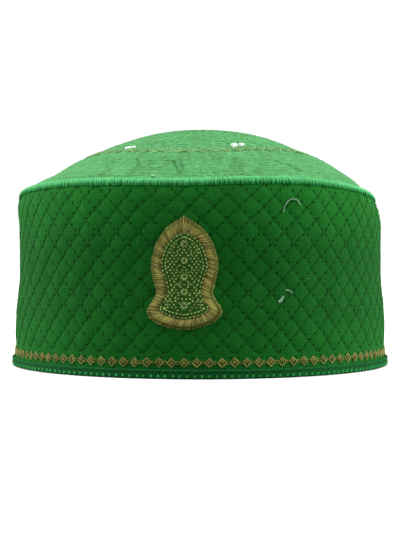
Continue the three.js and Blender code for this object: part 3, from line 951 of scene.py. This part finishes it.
class KUFI_OT_quilting(bpy.types.Operator):
    """Sew the lattice of stitches that quilts the band"""

    bl_idname = "kufi.quilting"
    bl_label = "Quilting stitches"

    def execute(self, context):
        thread, cloth = context.scene.kufi_thread, context.scene.kufi_cloth
        holes = np.arange(FIRST_HOLE, BAND_HEIGHT + 3 * MM, STITCH_RISE)
        gap = 0.08 * STITCH_RISE
        low, high = holes[:-1] + gap, holes[1:] - gap
        starts, ends, family = [], [], []
        for line in range(QUILT_CELLS):
            for lean in (-1, 1):
                for level, tips in ((low, starts), (high, ends)):
                    across = line + lean * (level - QUILT_LOWEST_ROW) / QUILT_CELL_HEIGHT
                    angle = from_quilt(across, level)
                    tips.append(np.stack([angle, height_of(angle, level)], 1))
                family.append(np.full(len(low), lean))
        starts, ends, family = (np.concatenate(parts) for parts in (starts, ends, family))
        angle, height = (starts + ends).T / 2
        kept = ~under_motif(signed(angle), height, 0.3 * MM) & (ends[:, 1] < LAST_STITCH)
        angle, height = angle[kept], height[kept]
        # One family of lines crosses over the other.
        above = -cloth.quilt_depth + np.where(family[kept] > 0, 0.1, 0.0) * MM
        fade = 1 - smoothstep(height, *QUILT_FADES_OUT)
        above = above * fade + soft_band(angle, height, cloth.unevenness)
        finish = thread_finish("quilting thread", thread.quilting_green, contrast=0.4, sheen=0.0,
                               specular=0.03, end_shade=0.35)
        sew("quilting_stitches", between(band_at, starts[kept], ends[kept], above), 0.34 * MM,
            0.26 * MM, finish, "band_cloth", Seed=3, Bow=0.45)
        return {"FINISHED"}


# The crown's map is as wide as the way round at this radius.
CROWN_MAP_RADIUS = 72 * MM


def crown_relief(angle, radius, pitch, unevenness):
    """Rings of stitches, soft unevenness, the pressed edge and the creases of the crown."""
    ring = 0.5 + 0.5 * np.cos(2 * np.pi * (SEAM_RADIUS - radius) / pitch)
    rings = -0.08 * MM * ring**3 * smoothstep(radius, 3 * MM, 9 * MM)
    soft = ripple(angle, radius * 1.6, 9) * unevenness
    soft = soft * window(radius, (12 * MM, 60 * MM), (80 * MM, 87 * MM))
    pressed = -0.45 * MM * smoothstep(radius, 78 * MM, 85 * MM)
    total = rings + soft + pressed
    x, y = radius * np.sin(np.radians(angle)), radius * np.cos(np.radians(angle))
    for r0, a0, r1, a1, depth, half in CROWN_CREASES:
        a0, a1 = math.radians(a0), math.radians(a1)
        x0, y0 = r0 * MM * math.sin(a0), r0 * MM * math.cos(a0)
        dx, dy = r1 * MM * math.sin(a1) - x0, r1 * MM * math.cos(a1) - y0
        t = np.clip(((x - x0) * dx + (y - y0) * dy) / (dx * dx + dy * dy), 0, 1)
        far = np.hypot(x - x0 - t * dx, y - y0 - t * dy) / (half * MM)
        total = total + depth * MM * (0.35 * np.exp(-(far - 2) ** 2) - np.exp(-far * far))
    return total


class KUFI_OT_crown(bpy.types.Operator):
    """Make the domed crown in place of its plain solid"""

    bl_idname = "kufi.crown"
    bl_label = "Domed crown"

    def execute(self, context):
        cloth = context.scene.kufi_cloth
        edge = SEAM_RADIUS - SEWN_GAP * MITRE
        inside_edge = edge - CROWN_WALL * MITRE
        outside = np.arange(edge, 0.9 * MM, -cloth.row_pitch / 4)
        relief = crown_relief(ROUND, outside[:, None], cloth.row_pitch, cloth.unevenness)
        relief = relief * (1 - smoothstep(outside, 85.5 * MM, 87.5 * MM))[:, None]
        outer = crown_at(ROUND, outside[:, None], relief)

        inside = np.linspace(0.05, 1, 20) * inside_edge
        near_edge = near_end(inside / inside_edge)
        drop = mix(CROWN_WALL, CROWN_WALL * MITRE, near_edge) - SEWN_GAP * MITRE * near_edge
        full = inside * edge / inside_edge
        height = crown_height(full[:, None], ROUND) - drop[:, None]
        inner = settled(inside[:, None], ROUND, height)

        top = float(crown_height(0.0, 0.0))
        poles = [(0, 0, top - CROWN_WALL), (0, 0, top)]
        mesh = cloth_mesh("domed_crown", np.concatenate([inner, outer]), "rings",
                          way_round(CROWN_MAP_RADIUS), np.concatenate([inside, outside]), poles)
        finish = cloth_finish("crown cloth", cloth.crown_green_and_painted_light, "rings", sheen=0.3, patchy=0.2,
                              streaky=1.3)
        piece = new_piece("domed_crown", mesh, finish)
        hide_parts("crown")
        return {"FINISHED"}


class KUFI_OT_crown_rows(bpy.types.Operator):
    """Sew the rings of stitches round the crown"""

    bl_idname = "kufi.crown_rows"
    bl_label = "Crown rows"

    def execute(self, context):
        thread, cloth = context.scene.kufi_thread, context.scene.kufi_cloth
        chance = np.random.default_rng(17)
        starts, ends = [], []
        rings = int((SEAM_RADIUS - CROWN_INNERMOST_ROW) / cloth.row_pitch)
        for radius in SEAM_RADIUS - np.arange(1, rings + 1) * cloth.row_pitch:
            if abs(radius - CROWN_BORDER_RADIUS) < CROWN_BORDER_HALF:
                continue
            count = round(2 * np.pi * radius / CROWN_STITCH_PITCH)
            pitch = 360 / count
            first = chance.uniform(0, pitch)
            for i in range(count):
                a = first + i * pitch + chance.normal(0, 0.1) * pitch
                r = radius + chance.normal(0, 0.16) * MM
                starts.append((a, r))
                ends.append((a + pitch * chance.uniform(0.7, 0.98), r + chance.normal(0, 0.2) * MM))
        starts, ends = np.array(starts), np.array(ends)
        above = crown_relief(*(starts + ends).T / 2, cloth.row_pitch, cloth.unevenness) + 0.02 * MM
        finish = thread_finish("crown thread", thread.crown_green_and_painted_light, contrast=0.35, end_shade=0.12,
                               sheen=0.3)
        sew("crown_stitch_rows", between(crown_at, starts, ends, above), 0.36 * MM, 0.2 * MM,
            finish, "crown_cloth", Seed=5, Bow=0.3)
        return {"FINISHED"}


class KUFI_OT_seam(bpy.types.Operator):
    """Make the seam's padded roll and its satin stitches"""

    bl_idname = "kufi.seam"
    bl_label = "Crown seam"

    def execute(self, context):
        thread = context.scene.kufi_thread
        low, high = seam_ends()
        corner = np.array([SEAM_RADIUS + SEWN_GAP * 1.2, BAND_HEIGHT + SEWN_GAP * 1.2])
        rise = SEAM_RELIEF * 0.7 + np.hypot(*(corner - (low + high) / 2))
        share = np.linspace(0, 1, 9)[:, None]
        outer = seam_at(ROUND, share, rise * np.sin(np.pi * share))
        inner = settled(corner[0], ROUND, corner[1])[None]
        mesh = cloth_mesh("seam_roll", np.concatenate([outer, inner]), "roll",
                          way_round(SEAM_RADIUS), np.linspace(0, 5 * MM, 11))
        # The roll seen in the gaps between the stitches takes the thread's painted shade, darker
        # still: painted shade in the gaps.
        dark = [c * 0.8 for c in thread.seam_painted_shade]
        finish = cloth_finish("seam cloth", dark, "roll", sheen=0.02, patchy=0.15)
        roll = new_piece("seam_roll", mesh, finish)
        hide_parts("crown_seam")

        chance = np.random.default_rng(23)
        count = round(2 * np.pi * SEAM_RADIUS / thread.seam_pitch)
        at = np.arange(count) * 360 / count + chance.normal(0, 0.12, count) * 360 / count
        slant = chance.normal(0.1, 0.09, count)
        top = 1.0 + chance.normal(0, 0.03, count)
        bottom = -0.02 + chance.normal(0, 0.04, count)
        starts = np.stack([at - slant * 0.3, bottom], 1)
        ends = np.stack([at + slant * 0.3, top], 1)
        width = chance.normal(0.68, 0.06, count) * MM
        finish = thread_finish("seam thread", thread.seam_green_painted_highlight, contrast=0.3, plies=5.0,
                               end_shade=0.05, painted_shade_end=thread.seam_painted_shade, sheen=0.0, specular=0.04)
        sew("seam_stitches", between(seam_at, starts, ends, 0.05 * MM), width, 0.4 * MM, finish,
            "seam_thread", Seed=7, Bow=3.4, Segments=7)
        return {"FINISHED"}


# How many stitches a row over the binding has, and its rows: piece, thread, level and rise of a
# stitch in mm, where it starts and ends as shares of the pitch, how deep it lies and its width in
# mm, and how pale it is beside the binding.
HEM_STITCHES = 186
HEM_ROWS = (
    ("hem_stitches", "hem thread", 3.5, 0.0, 0.0, 0.94, 0.08, 0.24, 1.6),
    ("edge_stitches", "edge thread", 0.4, 1.4, 0.42, 0.56, 0.1, 1.2, 3.4),
    ("sunk_hem_stitches", "sunk thread", 2.5, 0.0, 0.3, 0.8, 0.28, 0.55, 0.3),
)


class KUFI_OT_hem(bpy.types.Operator):
    """Make the hem's folded binding and its rows of stitches"""

    bl_idname = "kufi.hem"
    bl_label = "Bound hem"

    def execute(self, context):
        thread = context.scene.kufi_thread
        out, top, wall = HEM_RADIUS, BINDING_HEIGHT, BINDING_WALL
        corner = wall * 0.45
        slot_out = float(band_radius(BAND_FOOT)) + SEWN_GAP
        slot_in = slot_out - BAND_WALL - 2 * SEWN_GAP
        within = slot_in - wall
        section = np.array([
            (within + corner, 0), (mix(within, out, 0.5), 0), (out - corner, 0),
            (out - corner * 0.3, corner * 0.3), (out, corner),
            (out, 1.7 * MM), (out - HEM_GROOVE, 2.35 * MM), (out, 3.0 * MM),
            (out, top - corner), (out - corner * 0.3, top - corner * 0.3), (out - corner, top),
            (slot_out, top), (slot_out, wall), (slot_in, wall), (slot_in, top),
            (within + corner, top), (within, top - corner), (within, corner),
        ])
        grid = settled(section[:, :1], ROUND, section[:, 1:])
        run = np.concatenate([[0], np.cumsum(np.hypot(*np.diff(section, axis=0).T)), [20 * MM]])
        mesh = cloth_mesh("bound_hem", grid, "binding", way_round(HEM_RADIUS), run)
        finish = cloth_finish("hem cloth", thread.binding_green, "binding", sheen=0.15, patchy=0.2)
        hem = new_piece("bound_hem", mesh, finish)
        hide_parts("hem_binding")

        chance = np.random.default_rng(29)
        pitch = 360 / HEM_STITCHES
        at = np.arange(HEM_STITCHES) * pitch + chance.normal(0, 0.05, HEM_STITCHES) * pitch
        for i, (name, label, level, rise, first, last, sunk, width, tone) in enumerate(HEM_ROWS):
            waver = chance.normal(0, 0.05, (2, HEM_STITCHES)) * MM
            starts = np.stack([at + pitch * first, level * MM + waver[0]], 1)
            ends = np.stack([at + pitch * last, (level + rise) * MM + waver[1]], 1)
            above = HEM_RADIUS - band_radius(level * MM) - sunk * MM
            colour = [c * tone for c in thread.binding_green]
            finish = thread_finish(label, colour, contrast=0.6, sheen=0.1, specular=0.1)
            sew(name, between(band_at, starts, ends, above), width * MM, 0.32 * MM, finish,
                "binding_thread", Seed=11 + i, Bow=0.35, Wander=0.03)
        return {"FINISHED"}


# One diamond of the gold rings: each stitch from and to, across and up, and its width, in mm, the
# pitch that these sizes are for, and how many go round the hem and the crown.
DIAMOND = (
    (-2.3, -0.15, 0.15, 2.4, 0.5), (-0.15, 2.35, 2.3, -0.1, 0.5),
    (2.35, 0.3, -0.2, -2.4, 0.5), (0.2, -2.4, -2.35, 0.2, 0.5),
    (-0.5, -0.8, -0.5, 0.75, 0.6), (0.5, -0.75, 0.5, 0.8, 0.6), (-0.6, 0.95, 0.6, 0.95, 0.45),
    (2.0, 0.6, 3.5, 0.6, 0.36), (2.0, -0.55, 3.5, -0.55, 0.36),
)
DIAMOND_PITCH = 5.53 * MM
HEM_DIAMONDS = 107
CROWN_DIAMONDS = 64


def diamond_ring(surface, level, radius, count, size, seed, above):
    """Stitches of a ring of diamonds round the cap, and their widths."""
    chance = np.random.default_rng(seed)
    strokes = np.array(DIAMOND)
    angle = np.arange(count)[:, None] * 360 / count
    pitch = 2 * np.pi * radius / count / DIAMOND_PITCH
    degrees = size * pitch * MM * 180 / np.pi / radius
    tips = strokes[:, :4] + chance.normal(0, 0.09, (count, len(strokes), 4))
    ends = [np.stack([angle + tips[..., k] * degrees, level + tips[..., k + 1] * size * MM], -1)
            for k in (0, 2)]
    stitches = between(surface, *(end.reshape(-1, 2) for end in ends), above)
    return stitches, np.tile(strokes[:, 4], count) * MM * size


class KUFI_OT_gold_rings(bpy.types.Operator):
    """Sew the gold rings over the hem and round the crown"""

    bl_idname = "kufi.gold_rings"
    bl_label = "Gold rings"

    def execute(self, context):
        thread, cloth = context.scene.kufi_thread, context.scene.kufi_cloth
        dull = thread_finish("dull gold thread", blended(thread.gold, cloth.band_green, 0.18),
                             sheen=0.1, specular=0.25, roughness=0.45, contrast=0.8, end_shade=0.45,
                             plies=5.0)
        level, radius = BORDER_CENTRE - 0.35 * MM, float(band_radius(BORDER_CENTRE))
        stitches, width = diamond_ring(
            band_at, level, radius, HEM_DIAMONDS, size=0.88, seed=31, above=0.12 * MM)
        piece = sew("hem_gold_ring", stitches, width, 0.4 * MM, dull, "gold_thread", Seed=13,
                    Bow=0.7)
        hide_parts("hem_border")

        # The crown's gold ring in its pale colour, partly painted light from above.
        painted_light = thread_finish("faded gold thread", thread.crown_gold_and_painted_light, sheen=0.2, specular=0.2,
                              contrast=0.3, end_shade=0.1, plies=5.0)
        level = radius = CROWN_BORDER_RADIUS
        stitches, width = diamond_ring(
            crown_at, level, radius, CROWN_DIAMONDS, size=1.15, seed=37, above=0.1 * MM)
        piece = sew("crown_gold_ring", stitches, width, 0.28 * MM, painted_light, "gold_thread", Seed=15,
                    Bow=0.45)
        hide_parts("crown_border")
        return {"FINISHED"}


def run_along(outline):
    """The length run along a closed outline to each point, and to the first one again."""
    loop = np.concatenate([outline, outline[:1]])
    return np.concatenate([[0], np.cumsum(np.hypot(*np.diff(loop, axis=0).T))])


def place_on(outline, run, length):
    """Places on a closed outline at lengths counted by run."""
    loop = np.concatenate([outline, outline[:1]])
    length = np.mod(length, run[-1])
    return np.stack([np.interp(length, run, loop[:, k]) for k in (0, 1)], 1)


def along_outline(outline, pitch, inset):
    """Places at a pitch along a closed outline, moved inwards, and their directions."""
    run = run_along(outline)
    count = max(3, round(run[-1] / pitch))
    places = place_on(outline, run, np.arange(count) * run[-1] / count)
    ahead = np.roll(places, -1, 0) - np.roll(places, 1, 0)
    ahead = ahead / np.linalg.norm(ahead, axis=1, keepdims=True)
    square = np.stack([-ahead[:, 1], ahead[:, 0]], 1)
    towards = np.where((square * -places).sum(1, keepdims=True) > 0, 1, -1)
    return places + square * towards * inset, ahead


def drawn_in(outline, inset):
    """An outline with every point moved towards the middle."""
    return outline * (1 - inset / np.linalg.norm(outline, axis=1, keepdims=True))


# The motif's padding: share of the way from its outer to its inner outline, and share of the
# relief.
PAD_ROWS = (
    (0.03, 0.0), (0.08, 0.42), (0.3, 0.62), (0.5, 0.68), (0.7, 0.62), (0.92, 0.42), (0.97, 0.0),
)

# How far a satin stitch leans at each end, how high the ground lies on the band, and the rings of
# the ground's underside as shares of the way out.
SATIN_LEAN = 0.9 * MM
GROUND_RISE = MOTIF_FIELD_RELIEF * 0.6
GROUND_UNDERSIDE = (0.4, 0.75, 1.0)

# The motif's small stitches, in mm from its middle. Rows along the edge: inset, pitch and length.
# Rosettes and sprays: level and reach. Seed stitches: spacing across and up, half length, and
# distance from the edge.
EDGE_ROWS = ((0.8, 1.85, 1.15), (2.3, 1.8, 1.1))
ROSETTES = ((12.6, 1.9), (5.4, 1.6), (-1.6, 1.9), (-8.2, 1.6), (-14.2, 1.9))
SPRAYS = ((9.0, 2.6), (1.8, 2.9), (-5.0, 2.2), (-11.4, 3.4))
SEED_ACROSS, SEED_UP, SEED_HALF, SEED_INSET = 1.75, 1.25, 0.52, 3.3


def motif_pad(inner, outer, thread, cloth):
    """The padding under the satin edge."""
    pad = np.stack([motif_at(*mix(outer, inner, share).T, MOTIF_EDGE_RELIEF * up)
                    for share, up in PAD_ROWS])
    mesh = cloth_mesh("motif_pad", pad, "pad", np.arange(len(outer) + 1) * MM, np.arange(8) * MM)
    # The padding seen in the gaps between the satin stitches is painted dark: painted shade in the
    # gaps.
    painted_shade_gold = blended(cloth.band_green, thread.gold, 0.5, 0.4)
    finish = cloth_finish("pad cloth", painted_shade_gold, "pad", sheen=0.0, patchy=0.1)
    piece = new_piece("motif_pad", mesh, finish)
    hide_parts("motif_edge")


def motif_satin(inner, outer, thread):
    """Satin stitches over the padding, a little aslant, with ragged ends."""
    chance = np.random.default_rng(41)
    run = run_along(outer)
    count = round(run[-1] / thread.satin_pitch)
    at = (np.arange(count) + chance.normal(0, 0.08, count)) * run[-1] / count
    starts, ends = place_on(outer, run, at - SATIN_LEAN), place_on(inner, run, at + SATIN_LEAN)
    unit = (ends - starts) / np.linalg.norm(ends - starts, axis=1, keepdims=True)
    starts = starts - unit * chance.uniform(-0.1, 0.2, count)[:, None] * MM
    ends = ends - unit * chance.uniform(-0.4, 0.0, count)[:, None] * MM
    width = chance.normal(0.56, 0.05, count) * MM
    finish = thread_finish("gold thread", thread.gold, sheen=0.12, specular=0.35, roughness=0.45,
                           contrast=1.0, end_shade=0.12, plies=5.0)
    sew("motif_satin", between(motif_at, starts, ends), width, 0.42 * MM, finish, "gold_thread",
        Seed=17, Bow=1.55, Segments=5, Blunt=0.45)


def motif_ground(rim, thread, cloth):
    """The ground inside the edge."""
    rings = np.linspace(1, 0.08, 12)
    grid = np.stack([motif_at(*(rim * t).T, 0.0) for t in GROUND_UNDERSIDE]
                    + [motif_at(*(rim * t).T, GROUND_RISE) for t in rings])
    poles = [motif_at(0.0, 0.0, 0.0), motif_at(0.0, 0.0, GROUND_RISE)]
    around = np.arange(len(rim) + 1) * MM
    along = np.concatenate([GROUND_UNDERSIDE, rings]) * 15 * MM
    mesh = cloth_mesh("motif_ground", grid, "ground", around, along, poles)
    dark = blended(cloth.band_green, thread.gold, 0.06, 0.88)
    finish = cloth_finish("ground cloth", dark, "ground", sheen=0.05, patchy=0.3)
    piece = new_piece("motif_ground", mesh, finish)
    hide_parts("motif_field")


def motif_stitches(inner, rim, thread):
    """Small stitches, the same on both sides of the axis: rows along the edge, a stem of rosettes,
    sprays beside it, and seed stitches in what is left."""
    stitches, taken = [], []
    for inset, pitch, length in EDGE_ROWS:
        places, ahead = along_outline(inner, pitch * MM, inset * MM)
        for (x, y), (dx, dy) in zip(places / MM, ahead * length / 2):
            if inside(rim, x * MM, y * MM):
                stitches.append((x - dx, y - dy, x + dx, y + dy, 0.62))
    for centre, size in ROSETTES:
        taken.append((0.0, centre, size + 0.5))
        for k in range(8):
            c, s = math.cos(math.pi * (k + 0.5) / 4), math.sin(math.pi * (k + 0.5) / 4)
            stitches.append((c * 0.55, centre + s * 0.55, c * size, centre + s * size, 0.6))
    for level, reach in SPRAYS:
        for side in (-1, 1):
            for turn in (0.25, 0.95, 1.65, 2.35):
                (x0, y0), (x1, y1) = (
                    (reach * math.sin(t) + 0.6, level - reach * 0.6 * math.cos(t))
                    for t in (turn, turn + 0.45))
                stitches.append((side * x0, y0, side * x1, y1, 0.62))
                taken.append((side * (x0 + x1) / 2, (y0 + y1) / 2, 0.9))
    room = drawn_in(inner, SEED_INSET * MM)
    for row in range(-16, 17):
        for column in range(9):
            x, y = (column + 0.5 * (row % 2)) * SEED_ACROSS, row * SEED_UP
            if not inside(room, x * MM, y * MM):
                continue
            if any(math.hypot(x - cx, y - cy) < size for cx, cy, size in taken):
                continue
            turn = math.radians(55 if (row + column) % 2 else -35)
            c, s = SEED_HALF * math.cos(turn), SEED_HALF * math.sin(turn)
            for side in (-1, 1) if x else (1,):
                stitches.append((side * (x - c), y - s, side * (x + c), y + s, 0.56))
    stitches = np.array(stitches) * MM
    finish = thread_finish("motif thread", thread.motif_thread, contrast=0.8, sheen=0.1,
                           specular=0.3)
    sew("motif_stitches", between(motif_at, stitches[:, :2], stitches[:, 2:4], GROUND_RISE),
        stitches[:, 4], 0.36 * MM, finish, "motif_ground", Seed=19, Bow=0.6, Wander=0.12)


class KUFI_OT_motif(bpy.types.Operator):
    """Sew the motif: its satin edge, its ground and the small stitches on it"""

    bl_idname = "kufi.motif"
    bl_label = "Front motif"

    def execute(self, context):
        thread, cloth = context.scene.kufi_thread, context.scene.kufi_cloth
        outer, inner = motif_outline(True), motif_outline(False)
        rim = drawn_in(inner, 1.5 * SEWN_GAP)
        motif_pad(inner, outer, thread, cloth)
        motif_satin(inner, outer, thread)
        motif_ground(rim, thread, cloth)
        motif_stitches(inner, rim, thread)
        return {"FINISHED"}


# Painted glints on the cloth, made as curled pale fibres like bits of lint: what they lie on, how
# thick they are in mm, then points of angle in degrees and height or radius in mm.
PAINTED_GLINTS = (
    ("band", 0.38, (27.8, 72.0), (28.3, 74.2), (29.3, 75.9), (30.6, 76.8), (32.2, 76.5),
     (33.5, 74.4)),
    ("band", 0.62, (26.0, 33.2), (26.9, 34.4), (27.6, 35.6), (27.0, 33.6), (26.2, 32.8)),
    ("band", 0.5, (28.4, 38.2), (29.6, 38.0), (30.4, 37.0)),
    ("crown", 2.1, (-37.0, 54.0), (-34.8, 53.0)),
    ("crown", 1.5, (-35.4, 52.6), (-32.2, 51.9)),
    ("crown", 3.0, (21.1, 52.0), (23.5, 51.4)),
    ("crown", 2.7, (25.3, 51.4), (27.6, 52.0)),
    ("edge", 1.3, (-10.5, 84.8), (-9.4, 84.5)),
)

# Fine pale flecks by chance all over the band, painted glints where the threads' sheen catches the
# light: how many, how far they reach at most from their middle, in degrees and up, and how wide
# they are.
FLECKS = 150
FLECK_REACH = (0.16, 0.25 * MM)
FLECK_WIDTH = 0.14 * MM


class KUFI_OT_painted_glints(bpy.types.Operator):
    """Lay the painted glints on the cloth, made as pale fibres"""

    bl_idname = "kufi.lint"
    bl_label = "Painted glints"

    def execute(self, context):
        thread, cloth = context.scene.kufi_thread, context.scene.kufi_cloth
        chance = np.random.default_rng(67)
        for kind, surface, slot, beneath, share in (
                ("band", band_at, "band_cloth", cloth.crown_green_and_painted_light, 0.28),
                ("crown", crown_at, "crown_cloth", cloth.crown_green_and_painted_light, 1.0),
                ("edge", crown_at, "crown_cloth", thread.seam_green_painted_highlight, 0.35)):
            starts, ends, widths = [], [], []
            for place, width, *points in PAINTED_GLINTS:
                if place == kind:
                    points = np.array(points) * (1, MM)
                    starts.append(points[:-1])
                    ends.append(points[1:])
                    widths += [width * MM] * (len(points) - 1)
            if kind == "band":
                around, up = chance.uniform(0, 360, FLECKS), chance.uniform(14, 80, FLECKS) * MM
                centre = np.stack([around, up], 1)
                centre = centre[~under_motif(signed(centre[:, 0]), centre[:, 1], 1.0 * MM)]
                reach = chance.uniform(-1, 1, centre.shape) * FLECK_REACH
                starts.append(centre - reach)
                ends.append(centre + reach)
                widths += [FLECK_WIDTH] * len(centre)
            widths = np.array(widths)
            finish = thread_finish(kind + " lint", blended(beneath, thread.painted_glints, share),
                                   contrast=0.2, sheen=0.3, specular=0.1, end_shade=0.1,
                                   roughness=0.8)
            stitches = between(surface, np.concatenate(starts), np.concatenate(ends), 0.2 * MM)
            sew(kind + "_lint", stitches, widths, widths * 0.8, finish, slot,
                Seed=61, Bow=0.0, Wander=0.0, Sides=7, Segments=6)
        return {"FINISHED"}


# The floor reaches this far. It lies a little under the hem, so that the two faces don't fight.
FLOOR_REACH = 40.0
FLOOR_LEVEL = -0.2 * MM

# The camera, and for each light the direction that it shines in and its spread in degrees.
CAMERA_PLACE = Vector((0.0442, -0.5948, 0.0486))
CAMERA_AIM = Vector((0.0, 0.0, 0.0486))
SENSOR_WIDTH = 36.0
TOP_LIGHT = ((0.0, 0.03, -1.0), 45)
SIDE_LIGHTS = (((1, -0.12, -0.4), 50), ((-1, -0.12, -0.4), 50))


class KUFI_OT_stage(bpy.types.Operator):
    """Lay the floor, set the soft studio lights and place the camera"""

    bl_idname = "kufi.stage"
    bl_label = "Floor, lights and camera"

    def execute(self, context):
        stage = context.scene.kufi_stage
        mesh = bpy.data.meshes.new("floor")
        corners = [(FLOOR_REACH * x, FLOOR_REACH * y, FLOOR_LEVEL)
                   for x, y in ((-1, -1), (1, -1), (1, 1), (-1, 1))]
        mesh.from_pydata(corners, [], [(0, 1, 2, 3)])
        floor = add_object("floor", mesh)
        material, g, shader = material_start(
            "pale floor", roughness=0.9, sheen=0.0, sheen_tint=(1, 1, 1), specular=0.0)
        place = g.node("ShaderNodeTexCoord").outputs["Object"]
        seen = g.node("ShaderNodeLightPath").outputs["Is Camera Ray"]
        grey = g.math("MULTIPLY_ADD", seen, stage.floor_grey - stage.bounce_grey, stage.bounce_grey)
        tone = g.times(grey, g.ramp(g.noise(place, 6.0), 0.3, 0.7, 0.985, 1.0))
        g.feed(shader["Base Color"], g.combine(tone, tone, tone))
        mesh.materials.append(material)

        world = bpy.data.worlds.new("white studio")
        context.scene.world = world
        world.use_nodes = True
        g = Graph(world.node_tree)
        background = world.node_tree.nodes["Background"].inputs
        background["Color"].default_value = (1, 1, 1, 1)
        seen = g.node("ShaderNodeLightPath").outputs["Is Camera Ray"]
        g.feed(background["Strength"], g.math("MULTIPLY_ADD", seen, 1.0 - stage.sky, stage.sky))

        lights = [("top light", stage.top_light, *TOP_LIGHT)]
        lights += [("side light", stage.side_light, *light) for light in SIDE_LIGHTS]
        for name, energy, direction, spread in lights:
            data = bpy.data.lights.new(name, "SUN")
            data.energy = energy
            data.angle = math.radians(spread)
            lamp = add_object(name, data)
            lamp.rotation_euler = Vector(direction).to_track_quat("-Z", "Y").to_euler()

        data = bpy.data.cameras.new("camera")
        data.lens = stage.lens
        data.sensor_width = SENSOR_WIDTH
        camera = add_object("camera", data)
        camera.location = CAMERA_PLACE
        camera.rotation_euler = (CAMERA_AIM - CAMERA_PLACE).to_track_quat("-Z", "Y").to_euler()
        context.scene.camera = camera
        context.scene.view_settings.view_transform = "Standard"
        return {"FINISHED"}


class KUFI_PT_panel(bpy.types.Panel):
    """Sizes, colours and steps of the kufi"""

    bl_idname = "KUFI_PT_panel"
    bl_label = "Kufi"
    bl_space_type = "VIEW_3D"
    bl_region_type = "UI"
    bl_category = "Kufi"

    def draw(self, context):
        scene = context.scene
        for group in (scene.kufi_cloth, scene.kufi_thread, scene.kufi_stage):
            box = self.layout.box()
            for name in group.__annotations__:
                box.prop(group, name)
        for operator in OPERATORS:
            self.layout.operator(operator.bl_idname)


OPERATORS = (
    KUFI_OT_stage,
    KUFI_OT_band,
    KUFI_OT_quilting,
    KUFI_OT_crown,
    KUFI_OT_crown_rows,
    KUFI_OT_seam,
    KUFI_OT_hem,
    KUFI_OT_gold_rings,
    KUFI_OT_motif,
    KUFI_OT_painted_glints,
)
CLASSES = (KufiCloth, KufiThread, KufiStage, *OPERATORS, KUFI_PT_panel)


def register():
    for cls in CLASSES:
        bpy.utils.register_class(cls)
    bpy.types.Scene.kufi_cloth = PointerProperty(type=KufiCloth)
    bpy.types.Scene.kufi_thread = PointerProperty(type=KufiThread)
    bpy.types.Scene.kufi_stage = PointerProperty(type=KufiStage)


def unregister():
    del bpy.types.Scene.kufi_cloth, bpy.types.Scene.kufi_thread, bpy.types.Scene.kufi_stage
    for cls in reversed(CLASSES):
        bpy.utils.unregister_class(cls)


def main():
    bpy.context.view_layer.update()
    register()
    for operator in OPERATORS:
        step = operator.bl_idname.split(".")[1]
        getattr(bpy.ops.kufi, step)()


if __name__ == "__main__":
    main()
